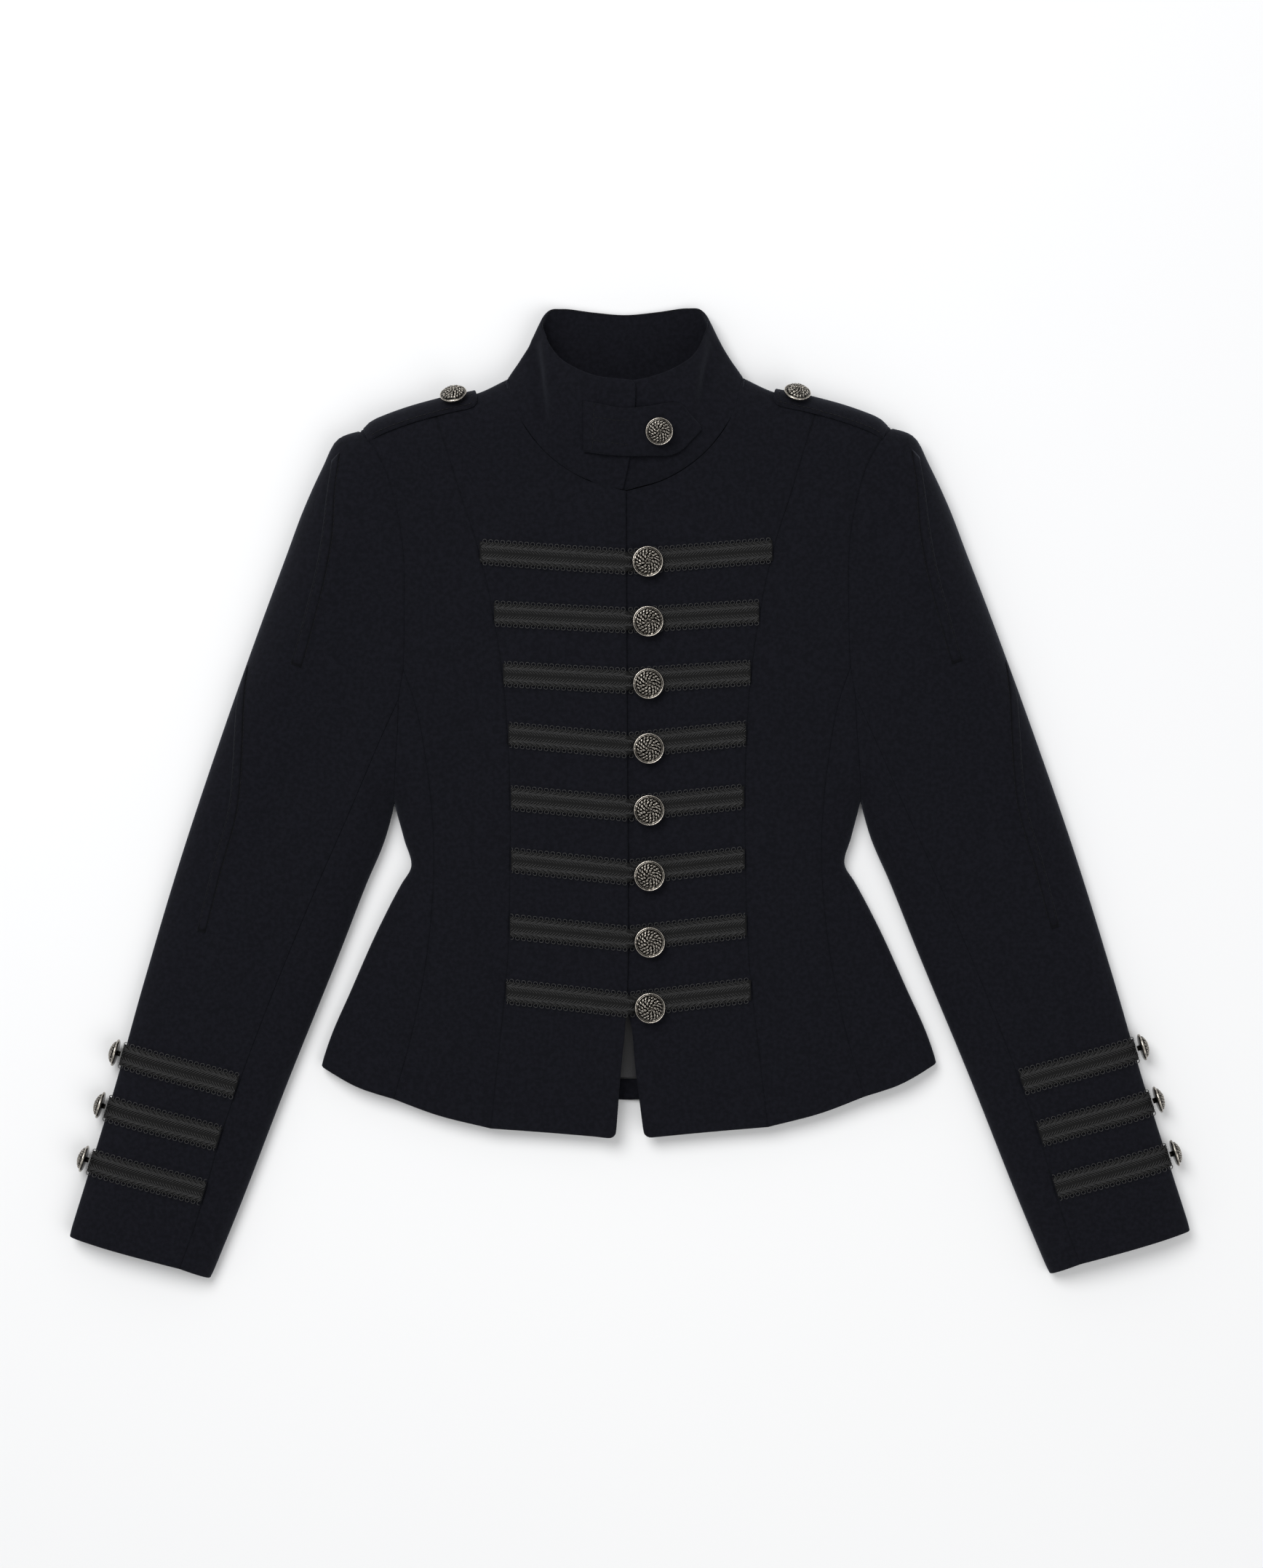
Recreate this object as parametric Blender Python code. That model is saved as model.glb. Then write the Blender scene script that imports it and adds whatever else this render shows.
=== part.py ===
"""A short military jacket with braid rows, laid flat on its back.

The tables are in millimetres: x from the centre line, y up towards the collar, z up from the surface
that the jacket lies on. A table gives one half, and the other half is its mirror image.
"""

import math

import bpy
import numpy as np

MM = 0.001
WALL = 2.2
SEAM = 0.18
LAP = 2.8
# The raised front edge: how far from the centre line the rise starts, and how long it is.
LAP_START = 28.0
LAP_RAMP = 12.0
REST = 0.5
CUFF_REST = 1.0
STRAP_REST = 0.7
UNDER_STRAP_REST = 1.3
STRAP_WALL = 2.0
BRAID_WALL = 1.6
BRAID_HEIGHT = 19.5
TOP_ROUND = 34.0
UNDERLAP = 10.0
ON_EDGE = 0.6
FRONT_BUTTON = 23.0
SMALL_BUTTON = 20.6
BUTTON_LINE = 15.8
BACK_SLEEVE_SEAM = 22.0
# Where the shoulder's points end: at the neck, the back seam, the front seam and the armhole.
SHOULDER_MARKS = (104.0, 118.0, 142.5, 196.0)
NECK_CENTRE = (0.0, 292.0)
# Within this of the centre line, the back neck's collar stands straight up from it.
BACK_NECK_REACH = 80.0

# Outlines of one half, as x and y.
SHOULDER = [(87.2, 305.6), (108.0, 295.8), (135.5, 289.3), (166.4, 280.5), (184.5, 273.5), (196.0, 268.2)]
OUTER_EDGE = [
    (196.0, 268.2), (212.0, 262.0), (223.8, 241.4), (239.0, 209.0), (251.4, 176.6), (269.7, 128.0),
    (298.9, 47.0), (331.8, -50.2), (361.0, -147.4), (379.0, -212.2), (394.0, -260.8), (414.5, -325.9),
]
INNER_EDGE = [
    (172.4, -8.6), (179.6, -34.0), (193.3, -66.4), (212.5, -115.0), (252.2, -212.2), (290.3, -309.4),
    (310.4, -358.0),
]
INSEAM = [
    (168.0, 69.7), (182.0, 38.9), (201.7, -7.0), (229.6, -69.1), (273.0, -174.4), (299.0, -246.2),
    (322.2, -323.5), (331.9, -349.4),
]
SIDE_EDGE = [
    (172.4, -8.6), (165.5, -34.0), (160.6, -55.0), (167.4, -66.4), (184.4, -98.8), (206.3, -147.4),
    (220.6, -179.8), (228.0, -201.4),
]
ARMHOLE_FRONT = [
    (196.0, 268.2), (189.3, 260.5), (178.0, 241.4), (169.8, 216.0), (164.8, 189.5), (163.0, 160.4),
    (163.2, 133.4), (163.6, 107.5), (164.4, 91.3),
]
ARMHOLE_LOW = [
    (164.4, 91.3), (168.0, 69.7), (168.6, 50.0), (170.2, 28.0), (171.4, 10.0), (172.0, 0.0), (172.4, -8.6),
]
ARMHOLE_BACK = [(196.0, 268.2), (187.0, 240.0), (180.0, 200.0), (176.5, 140.0), (175.0, 80.0)]
BACK_LOW = [(172.4, -8.6), (173.2, -2.0), (174.2, 15.0), (174.8, 45.0), (175.0, 80.0)]
FRONT_SEAM = [
    (142.5, 287.4), (129.4, 246.2), (120.6, 217.1), (110.6, 186.8), (97.9, 131.8), (90.7, 80.5),
    (87.2, 28.6), (86.7, -56.7), (89.5, -131.2), (96.0, -192.2), (102.3, -247.6),
]
SIDE_SEAM = [
    (164.4, 91.3), (156.5, 68.6), (147.7, 21.1), (143.0, -36.7), (146.8, -106.9), (160.0, -177.1),
    (173.7, -225.5),
]
BACK_SIDE_SEAM = [
    (175.0, 80.0), (156.0, 34.0), (141.0, -20.0), (137.0, -56.0), (152.0, -125.0), (180.0, -210.0),
]
BACK_SEAM = [
    (118.0, 293.2), (100.0, 220.0), (82.0, 120.0), (66.0, 30.0), (60.0, -56.0), (74.0, -150.0),
    (88.0, -225.0),
]
FRONT_NECK = [(0.0, 220.9), (29.0, 229.5), (56.9, 247.9), (77.8, 275.4), (87.2, 305.6)]
BACK_NECK = [(87.2, 305.6), (62.0, 298.0), (30.0, 294.5), (0.0, 293.8)]
FRONT_HEM = [(10.0, -255.4), (59.0, -251.0), (102.3, -247.6)]
FRONT_SIDE_HEM = [(102.3, -247.6), (143.0, -237.1), (173.7, -225.5)]
SIDE_HEM = [(173.7, -225.5), (198.0, -217.6), (228.0, -201.4)]
SIDE_BACK_HEM = [(228.0, -201.4), (180.0, -210.0)]
BACK_SIDE_HEM = [(88.0, -225.0), (180.0, -210.0)]
BACK_CENTER_HEM = [(0.0, -228.0), (88.0, -225.0)]
CUFF = [(310.4, -358.0), (331.9, -349.4), (372.0, -338.6), (414.5, -325.9)]
# The front edges: x past the centre line, at y. The under one runs beneath the upper one.
UPPER_EDGE = [
    (0.0, 220.9), (0.0, 50.0), (0.0, -70.0), (0.2, -120.0), (2.3, -169.6), (6.3, -210.0), (10.0, -255.4),
]
UNDER_EDGE = [
    (-UNDERLAP, 220.9), (-UNDERLAP, 50.0), (-UNDERLAP, -60.0), (-UNDERLAP, -115.0), (-6.0, -145.0),
    (1.4, -169.6), (4.5, -200.9), (11.0, -255.4),
]

# How far the cloth stands off the surface, as y and z, over the body and over the sleeves.
UPPER_LOFT = [(0.0, 24.0), (100.0, 28.0), (200.0, 31.0), (270.0, 33.0)]
BODY_LOFT = [(-260.0, 15.0), (-120.0, 19.0), (-56.0, 21.0)] + UPPER_LOFT
SLEEVE_LOFT = [(-360.0, 21.0), (-100.0, 21.0)] + UPPER_LOFT
# How the crown edge (shoulder and outer sleeve) turns under: y, height of the edge, reach of the turn.
CROWN_RIM = [
    (-330.0, 11.0, 16.0), (-190.0, 11.0, 16.0), (-120.0, 8.0, 13.0), (180.0, 8.0, 13.0),
    (230.0, 11.0, 26.0), (265.0, 15.0, 44.0),
]
LOW_RIM = [(-400.0, 7.0, 10.0), (400.0, 7.0, 10.0)]

# Collar stations from the front centre round to the back centre: base, middle and rim.
# base_x, base_y, middle_x, middle_y, middle_z, rim_x, rim_y, rim_z
COLLAR = [
    (0.0, 220.9, 0.0, 262.0, 41.0, 0.0, 305.6, 44.0),
    (29.0, 229.5, 27.0, 267.0, 40.0, 22.0, 309.5, 43.0),
    (56.9, 247.9, 51.0, 281.0, 36.5, 40.0, 317.0, 39.5),
    (77.8, 275.4, 67.5, 300.0, 30.0, 51.5, 326.0, 33.0),
    (85.6, 293.0, 74.5, 313.0, 23.0, 59.5, 339.0, 26.0),
    (87.2, 305.6, 74.0, 326.0, 15.0, 62.5, 350.0, 17.0),
    (77.0, 301.5, 67.0, 329.5, 6.0, 57.0, 357.0, 8.5),
    (60.0, 297.6, 54.0, 327.5, 1.2, 47.0, 358.6, 3.4),
    (30.0, 294.5, 28.0, 325.0, 0.0, 24.0, 356.0, 1.4),
    (0.0, 293.8, 0.0, 324.0, 0.0, 0.0, 354.0, 1.0),
]

# Rows of front braid: y at the front edge, y at the front seam, y of the button.
FRONT_BRAIDS = [
    (169.0, 176.9, 169.0), (126.1, 131.8, 125.3), (81.8, 87.5, 79.7), (34.6, 42.9, 32.2),
    (-11.9, -3.5, -13.2), (-58.9, -49.4, -61.3), (-107.6, -98.3, -110.3), (-156.3, -146.1, -158.7),
]
# How far a braid stops short of a seam, where an under row starts, and the length and half height of
# the tongue that carries a button.
BRAID_END_GAP = 0.6
UNDER_BRAID_START = 6.0
BRAID_TONGUE = (5.4, 4.0)
# Cuff braids: y on the outer edge, y on the inseam.
CUFF_BRAIDS = [(-192.0, -214.7), (-230.9, -252.9), (-270.5, -292.6)]

# The collar tab: x, lower y and upper y, from its sewn end to its point.
TAB = [
    (-32.0, 252.6, 290.0), (-20.0, 251.0, 287.0), (0.0, 249.4, 284.0), (20.0, 249.4, 284.6),
    (36.0, 250.2, 287.0), (44.0, 254.0, 284.0), (56.0, 266.0, 270.0),
]
TAB_BUTTON = (21.9, 266.5)
TAB_BUTTON_GAP = 0.8
# The epaulette's button: x, and how far in front of the shoulder edge.
EPAULETTE_BUTTON = (126.0, 3.0)

# Turned button, as shares of its radius: distance from the axis, height above the shank's foot.
BUTTON_PROFILE = [
    (0.26, 0.0), (0.26, 0.24), (0.9, 0.27), (1.0, 0.36), (0.97, 0.47), (0.84, 0.52), (0.62, 0.72),
    (0.32, 0.84),
]
BUTTON_TOP = 0.88
FRONT_BUTTON_GAP = 0.35
STRAP_BUTTON_GAP = 0.5
CUFF_BUTTON_GAP = 0.4
BUTTON_SIDES = 12

# The shoulder strap: x of its stations and the share of its width there, from the neck outwards.
STRAP_STATIONS = [
    (110.0, 0.5), (112.5, 0.85), (122.0, 1.0), (136.0, 1.0), (151.0, 1.0), (166.0, 1.0), (180.0, 1.0),
    (194.0, 1.0),
]
# Across the strap: distance from the shoulder edge, and the face that it lies on, 1 above and -1 below.
STRAP_SPANS = [(11.5, 1), (6.0, 1), (2.5, 1), (0.7, 1), (0.0, 1), (0.8, -1), (3.5, -1), (9.0, -1)]

# What shows in the gap of the fronts, as half width, lower y, upper y and thickness.
PATCH_GAP = 0.3
LINING = (24.0, -212.0, -130.0, 1.0)
HEM_FACING = (24.0, -227.0, -212.4, 1.4)

WOOL = ("wool", (0.009, 0.010, 0.013, 1.0), 0.95, 0.0)
BRAID = ("braid", (0.022, 0.023, 0.027, 1.0), 0.75, 0.0)
METAL = ("antique_silver", (0.22, 0.20, 0.17, 1.0), 0.4, 1.0)
SATIN = ("lining_satin", (0.018, 0.018, 0.023, 1.0), 0.5, 0.0)


def material(spec):
    name, colour, roughness, metallic = spec
    found = bpy.data.materials.get(name)
    if found:
        return found
    made = bpy.data.materials.new(name)
    made.use_nodes = True
    shader = made.node_tree.nodes["Principled BSDF"]
    shader.inputs["Base Color"].default_value = colour
    shader.inputs["Roughness"].default_value = roughness
    shader.inputs["Metallic"].default_value = metallic
    return made


def add_mesh(name, points, faces, spec):
    mesh = bpy.data.meshes.new(name)
    mesh.from_pydata([tuple(p * MM for p in point) for point in points], [], faces)
    mesh.materials.append(material(spec))
    mesh.shade_smooth()
    mesh.set_sharp_from_angle(angle=math.radians(50))
    thing = bpy.data.objects.new(name, mesh)
    bpy.context.scene.collection.objects.link(thing)
    return thing


def wall(name, outer, inner, spec):
    """A closed wall between two grids of points of the same shape."""
    rows, columns = outer.shape[:2]
    points = np.concatenate([outer.reshape(-1, 3), inner.reshape(-1, 3)])
    back = rows * columns
    faces = []
    for i in range(rows - 1):
        for j in range(columns - 1):
            a = i * columns + j
            quad = (a, a + 1, a + columns + 1, a + columns)
            faces.append(quad)
            faces.append(tuple(back + k for k in reversed(quad)))
    rim = [j for j in range(columns)]
    rim += [i * columns + columns - 1 for i in range(1, rows)]
    rim += [(rows - 1) * columns + j for j in range(columns - 2, -1, -1)]
    rim += [i * columns for i in range(rows - 2, 0, -1)]
    for a, b in zip(rim, rim[1:] + rim[:1]):
        faces.append((b, a, back + a, back + b))
    if volume(points, faces) < 0:
        faces = [tuple(reversed(face)) for face in faces]
    return add_mesh(name, points, faces, spec)


def volume(points, faces):
    total = 0.0
    for face in faces:
        for b, c in zip(face[1:], face[2:]):
            total += np.dot(points[face[0]], np.cross(points[b], points[c]))
    return total / 6


def smooth_line(table, count=None, stations=None):
    """Points on a rounded curve through a table, at even or given shares of its length."""
    rows = np.array(table, float)
    steps = np.linalg.norm(np.diff(rows[:, :2], axis=0), axis=1)
    knots = np.concatenate([[0], np.cumsum(steps)])
    slopes = np.gradient(rows, knots, axis=0)
    shares = np.linspace(0, 1, count) if stations is None else np.array(stations)
    places = shares * knots[-1]
    at = np.clip(np.searchsorted(knots, places, side="right") - 1, 0, len(knots) - 2)
    span = knots[at + 1] - knots[at]
    t = ((places - knots[at]) / span)[:, None]
    span = span[:, None]
    start = (2 * t**3 - 3 * t**2 + 1) * rows[at] + (t**3 - 2 * t**2 + t) * span * slopes[at]
    end = (3 * t**2 - 2 * t**3) * rows[at + 1] + (t**3 - t**2) * span * slopes[at + 1]
    return start + end


def length(table):
    return float(np.linalg.norm(np.diff(np.array(table, float)[:, :2], axis=0), axis=1).sum())


def table_at(table, y):
    """The other columns of a table at a place in its first one."""
    rows = np.array(sorted(table), float)
    return [np.interp(y, rows[:, 0], rows[:, k]) for k in range(1, rows.shape[1])]


CROWN = np.concatenate([smooth_line(SHOULDER, 30)[:-1], smooth_line(OUTER_EDGE, 80)])
EDGES = [(CROWN, CROWN_RIM), (smooth_line(INNER_EDGE, 50), LOW_RIM), (smooth_line(SIDE_EDGE, 40), LOW_RIM)]


def nearest_edge(x, y):
    """Distance to the nearest fold edge, the unit vector away from it, its height and its reach."""
    best = None
    for line, rim in EDGES:
        start, step = line[:-1], np.diff(line, axis=0)
        to = np.array([x, y]) - start
        t = np.clip((to * step).sum(1) / (step * step).sum(1), 0, 1)
        away = to - step * t[:, None]
        distance = np.linalg.norm(away, axis=1)
        k = int(distance.argmin())
        if best is None or distance[k] < best[0]:
            near = start[k] + step[k] * t[k]
            along = step[k] / np.linalg.norm(step[k])
            best = (distance[k], away[k], near, along, rim)
    distance, away, near, along, rim = best
    if distance < ON_EDGE:
        inward = inward_at(near, np.array([along[1], -along[0]]))
        distance = max(0.0, float(np.dot(away, inward)))
        away = inward
    else:
        away = away / distance
    height, reach = table_at(rim, near[1])
    return distance, away, height, reach


def inward_at(near, across):
    """The direction into the cloth at a point of an edge; across is square to the edge."""
    underarm, shoulder_tip = np.array(SIDE_EDGE[0]), SHOULDER[-1]
    if np.linalg.norm(near - underarm) < 1.0:
        return np.array([0.0, 1.0])
    on_side_edge = np.abs(EDGES[2][0] - near).sum(1).min() < 8.0 and near[0] < 229
    if near[0] <= shoulder_tip[0] and near[1] > 260.0:
        target = np.array([near[0], 0.0])
    elif on_side_edge:
        target = np.array([0.0, near[1]])
    else:
        target = np.array([230.0 + (60.0 - near[1]) * 0.33, near[1]])
    return across if np.dot(across, target - near) > 0 else -across


def surface(x, y, face, loft):
    """A point of the outer surface over (x, y) and its outward normal; face is 1 on top and -1 below."""
    distance, away, edge, reach = nearest_edge(abs(x), y)
    away = np.array([away[0] * (1 if x >= 0 else -1), away[1]])
    top = table_at(loft, y)[0]
    run = TOP_ROUND if face > 0 else reach
    share = max(0.0, 1 - distance / run)
    rise = math.sqrt(max(0.0, 1 - share * share))
    z = edge + (top - edge) * rise if face > 0 else edge * (1 - rise)
    lift = (top - edge) if face > 0 else edge
    slope = lift / run * share
    normal = np.array([-away[0] * slope, -away[1] * slope, face * rise])
    if np.linalg.norm(normal) < 1e-6:
        normal = np.array([0.0, 0.0, float(face)])
    return np.array([x, y, z]), normal / np.linalg.norm(normal)


def spread(left, right, top, bottom, across, down):
    """A grid of x and y between four borders that share their corners."""
    grid = np.zeros((len(down), len(across), 2))
    for i, v in enumerate(down):
        for j, u in enumerate(across):
            edges = (1 - u) * left[i] + u * right[i] + (1 - v) * top[j] + v * bottom[j]
            corners = (1 - u) * (1 - v) * top[0] + u * (1 - v) * top[-1]
            corners = corners + (1 - u) * v * bottom[0] + u * v * bottom[-1]
            grid[i, j] = edges - corners
    return grid


def raise_grid(flat, faces, loft, side):
    """The outer points and the normals over a grid of x and y, on the left or right side."""
    outer = np.zeros(flat.shape[:2] + (3,))
    normals = np.zeros_like(outer)
    for i in range(flat.shape[0]):
        for j in range(flat.shape[1]):
            point, normal = surface(flat[i, j, 0], flat[i, j, 1], faces[j], loft)
            outer[i, j] = point * (side, 1, 1)
            normals[i, j] = normal * (side, 1, 1)
    return outer, normals


def even(count):
    return list(np.linspace(0, 1, count))


def near_start(long, marks, count):
    """Shares of a length: close together at the start, at the marks in millimetres, then even."""
    first = [mark / long for mark in marks]
    rest = np.linspace(first[-1], 1, count - len(first) + 1)[1:]
    return first + list(rest)


def shifted(line, x=0.0, y=0.0):
    return line + np.array([x, y])


def from_neck(line, distance):
    """A line of the neck moved away from the neck's middle."""
    away = line - np.array(NECK_CENTRE)
    return line + away / np.linalg.norm(away, axis=1)[:, None] * distance


SEAM_ROWS = 8
SIDE_ROWS_TOP = near_start(length(ARMHOLE_FRONT), (0, 3, 10, 21, 34), 9)
SLEEVE_ROWS = near_start(length(OUTER_EDGE), (0, 12, 26, 46, 76), 14)
NECK_SHARES = [0, 0.09, 0.16, 0.3, 0.44, 0.58, 0.72, 0.86, 1]
neck_lines = {}


def joined_rows(upper, lower, upper_stations):
    """Shares down a seam whose far side is made of two lines, the lower one with even rows."""
    share = length(upper) / (length(upper) + length(lower))
    return [s * share for s in upper_stations] + list(np.linspace(share, 1, SEAM_ROWS)[1:])


FRONT_ROWS = joined_rows(ARMHOLE_FRONT, SIDE_SEAM, SIDE_ROWS_TOP)


def shoulder_y(x):
    line = smooth_line(SHOULDER, 60)
    return float(np.interp(x, line[:, 0], line[:, 1]))


def shoulder_points(start, end, count):
    return np.array([(x, shoulder_y(x)) for x in np.linspace(start, end, count)])


def smooth_step(value):
    t = np.clip(value, 0.0, 1.0)
    return t * t * (3 - 2 * t)


def front_lap(x):
    """How far the upper front edge and collar end are raised over the under ones."""
    return LAP * smooth_step((LAP_START + x) / LAP_RAMP)


def side_name(name, side):
    return f"{name}_{'left' if side < 0 else 'right'}"


def corners_from(left, right, top, bottom):
    """The top and bottom borders take their ends from the side ones."""
    top[0], top[-1], bottom[0], bottom[-1] = left[0], right[0], left[-1], right[-1]


def front_center(side):
    upper = side < 0
    edge = UPPER_EDGE if upper else UNDER_EDGE
    neck = from_neck(smooth_line(FRONT_NECK, stations=NECK_SHARES), SEAM)
    top = np.concatenate([neck, shoulder_points(SHOULDER_MARKS[0], SHOULDER_MARKS[2], 3)])
    across = [0, 0.08, 0.15, 0.26, 0.38, 0.48, 0.56, 0.64, 0.72, 0.82, 0.91, 1]
    top[0, 0] = edge[0][0]
    left = smooth_line(edge, stations=FRONT_ROWS)
    left[:, 1] = np.interp(left[:, 1], [edge[-1][1], edge[0][1]], [edge[-1][1], top[0, 1]])
    right = shifted(smooth_line(FRONT_SEAM, stations=FRONT_ROWS), x=-SEAM)
    hem = smooth_line(FRONT_HEM, stations=across)
    bottom = hem + (left[-1] - hem[0])[None] * (1 - np.array(across))[:, None]
    top[-1] = right[0]
    bottom[-1] = right[-1]
    flat = spread(left, right, top, bottom, across, FRONT_ROWS)
    outer, normals = raise_grid(flat, [1] * len(across), BODY_LOFT, side)
    if upper:
        outer[:, :, 2] += front_lap(outer[:, :, 0])
    name = side_name("front_center", side)
    neck_lines[name] = outer[0, :len(NECK_SHARES)]
    wall(name, outer, outer - normals * WALL, WOOL)


def front_side(side):
    across = even(6)
    down = FRONT_ROWS
    left = shifted(smooth_line(FRONT_SEAM, stations=down), x=SEAM)
    arm = smooth_line(ARMHOLE_FRONT, stations=SIDE_ROWS_TOP)
    seam = smooth_line(SIDE_SEAM, 8)
    right = shifted(np.concatenate([arm, seam[1:]]), x=-SEAM)
    top = shoulder_points(SHOULDER_MARKS[2], SHOULDER_MARKS[3], len(across))
    bottom = smooth_line(FRONT_SIDE_HEM, len(across))
    corners_from(left, right, top, bottom)
    flat = spread(left, right, top, bottom, across, down)
    outer, normals = raise_grid(flat, [1] * len(across), BODY_LOFT, side)
    wall(side_name("front_side", side), outer, outer - normals * WALL, WOOL)


BACK_ROWS_TOP = near_start(length(ARMHOLE_BACK), (0, 3, 12, 26, 44), 8)
BACK_ROWS = joined_rows(ARMHOLE_BACK, BACK_SIDE_SEAM, BACK_ROWS_TOP)


def both_faces(top_flat, under_flat, loft, side):
    """Joins the grid above an edge to the grid below it, which shares the edge's column."""
    above, above_normals = raise_grid(top_flat, [1] * top_flat.shape[1], loft, side)
    below, below_normals = raise_grid(under_flat, [-1] * under_flat.shape[1], loft, side)
    outer = np.concatenate([above, below[:, 1:]], axis=1)
    return outer, np.concatenate([above_normals, below_normals[:, 1:]], axis=1)


def side_panel(side):
    down = even(SEAM_ROWS)
    seam = shifted(smooth_line(SIDE_SEAM, SEAM_ROWS), x=SEAM)
    edge = smooth_line(SIDE_EDGE, SEAM_ROWS)
    back = shifted(smooth_line(BACK_SIDE_SEAM, SEAM_ROWS), x=SEAM)
    across = [0, 0.3, 0.55, 0.75, 0.9, 0.97, 1]
    top = shifted(np.array(ARMHOLE_LOW), x=-SEAM)
    bottom = smooth_line(SIDE_HEM, stations=across)
    edge[0] = top[-1]
    corners_from(seam, edge, top, bottom)
    above = spread(seam, edge, top, bottom, across, down)
    under = [0, 0.06, 0.2, 0.5, 1]
    top = shifted(np.array(BACK_LOW), x=-SEAM)
    bottom = smooth_line(SIDE_BACK_HEM, stations=under)
    corners_from(edge, back, top, bottom)
    below = spread(edge, back, top, bottom, under, down)
    outer, normals = both_faces(above, below, BODY_LOFT, side)
    wall(side_name("side_panel", side), outer, outer - normals * WALL, WOOL)


def back_side(side):
    down, across = BACK_ROWS, even(7)
    left = shifted(smooth_line(BACK_SEAM, stations=down), x=SEAM)
    arm = smooth_line(ARMHOLE_BACK, stations=BACK_ROWS_TOP)
    right = shifted(np.concatenate([arm, smooth_line(BACK_SIDE_SEAM, SEAM_ROWS)[1:]]), x=-SEAM)
    top = shoulder_points(SHOULDER_MARKS[1], SHOULDER_MARKS[3], len(across))
    bottom = smooth_line(BACK_SIDE_HEM, len(across))
    corners_from(left, right, top, bottom)
    flat = spread(left, right, top, bottom, across, down)
    outer, normals = raise_grid(flat, [-1] * len(across), BODY_LOFT, side)
    outer[0, :, 2] -= 2 * SEAM
    wall(side_name("back_side", side), outer, outer - normals * WALL, WOOL)


def back_center():
    down, across = BACK_ROWS, [0, 0.15, 0.3, 0.45, 0.6, 0.74, 0.87, 1]
    right = shifted(smooth_line(BACK_SEAM, stations=down), x=-SEAM)
    neck = smooth_line(BACK_NECK[::-1], len(across) - 2)
    neck[:, 1] -= SEAM
    top = np.concatenate([neck, shoulder_points(SHOULDER_MARKS[0] - 1, SHOULDER_MARKS[1], 2)])
    middle = np.interp(down, [0, 1], [top[0, 1], BACK_CENTER_HEM[0][1]])
    left = np.stack([np.zeros(len(down)), middle], axis=1)
    bottom = smooth_line(BACK_CENTER_HEM, stations=across)
    corners_from(left, right, top, bottom)
    flat = spread(left, right, top, bottom, across, down)
    outer, normals = raise_grid(flat, [-1] * len(across), BODY_LOFT, 1)
    outer[0, :, 2] = np.maximum(outer[0, :, 2] - 2 * SEAM, 0)
    flip = np.array([-1.0, 1.0, 1.0])
    outer = np.concatenate([(outer * flip)[:, :0:-1], outer], axis=1)
    normals = np.concatenate([(normals * flip)[:, :0:-1], normals], axis=1)
    neck_lines["back_center"] = outer[0, 2:-2]
    wall("back_center", outer, outer - normals * WALL, WOOL)


def back_sleeve_seam(edge):
    """The sleeve's back seam: on the under face, a fixed distance in from the outer edge."""
    line = edge.copy()
    for i, (x, y) in enumerate(edge):
        line[i] = edge[i] + nearest_edge(x, y)[1] * BACK_SLEEVE_SEAM
    line[0] = smooth_line(ARMHOLE_BACK, stations=BACK_ROWS_TOP)[3]
    cuff = np.array(CUFF[-2]) - np.array(CUFF[-1])
    line[-1] = np.array(CUFF[-1]) + cuff / np.linalg.norm(cuff) * BACK_SLEEVE_SEAM
    return line


def top_sleeve(side):
    inseam = shifted(smooth_line(INSEAM, stations=SLEEVE_ROWS), x=SEAM)
    edge = smooth_line(OUTER_EDGE, stations=SLEEVE_ROWS)
    across = [0, 0.1, 0.28, 0.45, 0.6, 0.72, 0.83, 0.92, 0.98, 1]
    arm = smooth_line(ARMHOLE_FRONT, stations=SIDE_ROWS_TOP)[::-1]
    top = shifted(np.concatenate([[ARMHOLE_LOW[1]], arm]), x=SEAM)
    bottom = smooth_line(CUFF[1:], stations=across)
    edge[0] = top[-1]
    corners_from(inseam, edge, top, bottom)
    above = spread(inseam, edge, top, bottom, across, SLEEVE_ROWS)
    under = [0, 0.12, 0.46, 1]
    back = shifted(back_sleeve_seam(edge), x=SEAM)
    top = shifted(smooth_line(ARMHOLE_BACK, stations=BACK_ROWS_TOP)[:4], x=SEAM)
    bottom = smooth_line([tuple(edge[-1]), tuple(back[-1])], stations=under)
    corners_from(edge, back, top, bottom)
    below = spread(edge, back, top, bottom, under, SLEEVE_ROWS)
    outer, normals = both_faces(above, below, SLEEVE_LOFT, side)
    wall(side_name("top_sleeve", side), outer, outer - normals * WALL, WOOL)


def under_sleeve(side):
    inseam = shifted(smooth_line(INSEAM, stations=SLEEVE_ROWS), x=-SEAM)
    edge = smooth_line(INNER_EDGE, stations=SLEEVE_ROWS)
    across = [0, 0.3, 0.6, 0.8, 0.94, 1]
    top = shifted(np.array(ARMHOLE_LOW[1:]), x=SEAM)
    inseam[0] = top[0]
    edge[0] = top[-1]
    bottom = smooth_line(CUFF[:2][::-1], stations=across)
    corners_from(inseam, edge, top, bottom)
    above = spread(inseam, edge, top, bottom, across, SLEEVE_ROWS)
    under = [0, 0.03, 0.1, 0.25, 0.4, 0.55, 0.7, 0.85, 1]
    back = shifted(back_sleeve_seam(smooth_line(OUTER_EDGE, stations=SLEEVE_ROWS)), x=-SEAM)
    arm = smooth_line(ARMHOLE_BACK, stations=BACK_ROWS_TOP)[3:-1][::-1]
    top = shifted(np.concatenate([BACK_LOW, arm]), x=SEAM)
    top[-1] += (0.0, -3 * SEAM)
    bottom = smooth_line([tuple(edge[-1]), tuple(back[-1])], stations=under)
    back[0] = top[-1]
    corners_from(edge, back, top, bottom)
    below = spread(edge, back, top, bottom, under, SLEEVE_ROWS)
    outer, normals = both_faces(above, below, SLEEVE_LOFT, side)
    wall(side_name("under_sleeve", side), outer, outer - normals * WALL, WOOL)


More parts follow.
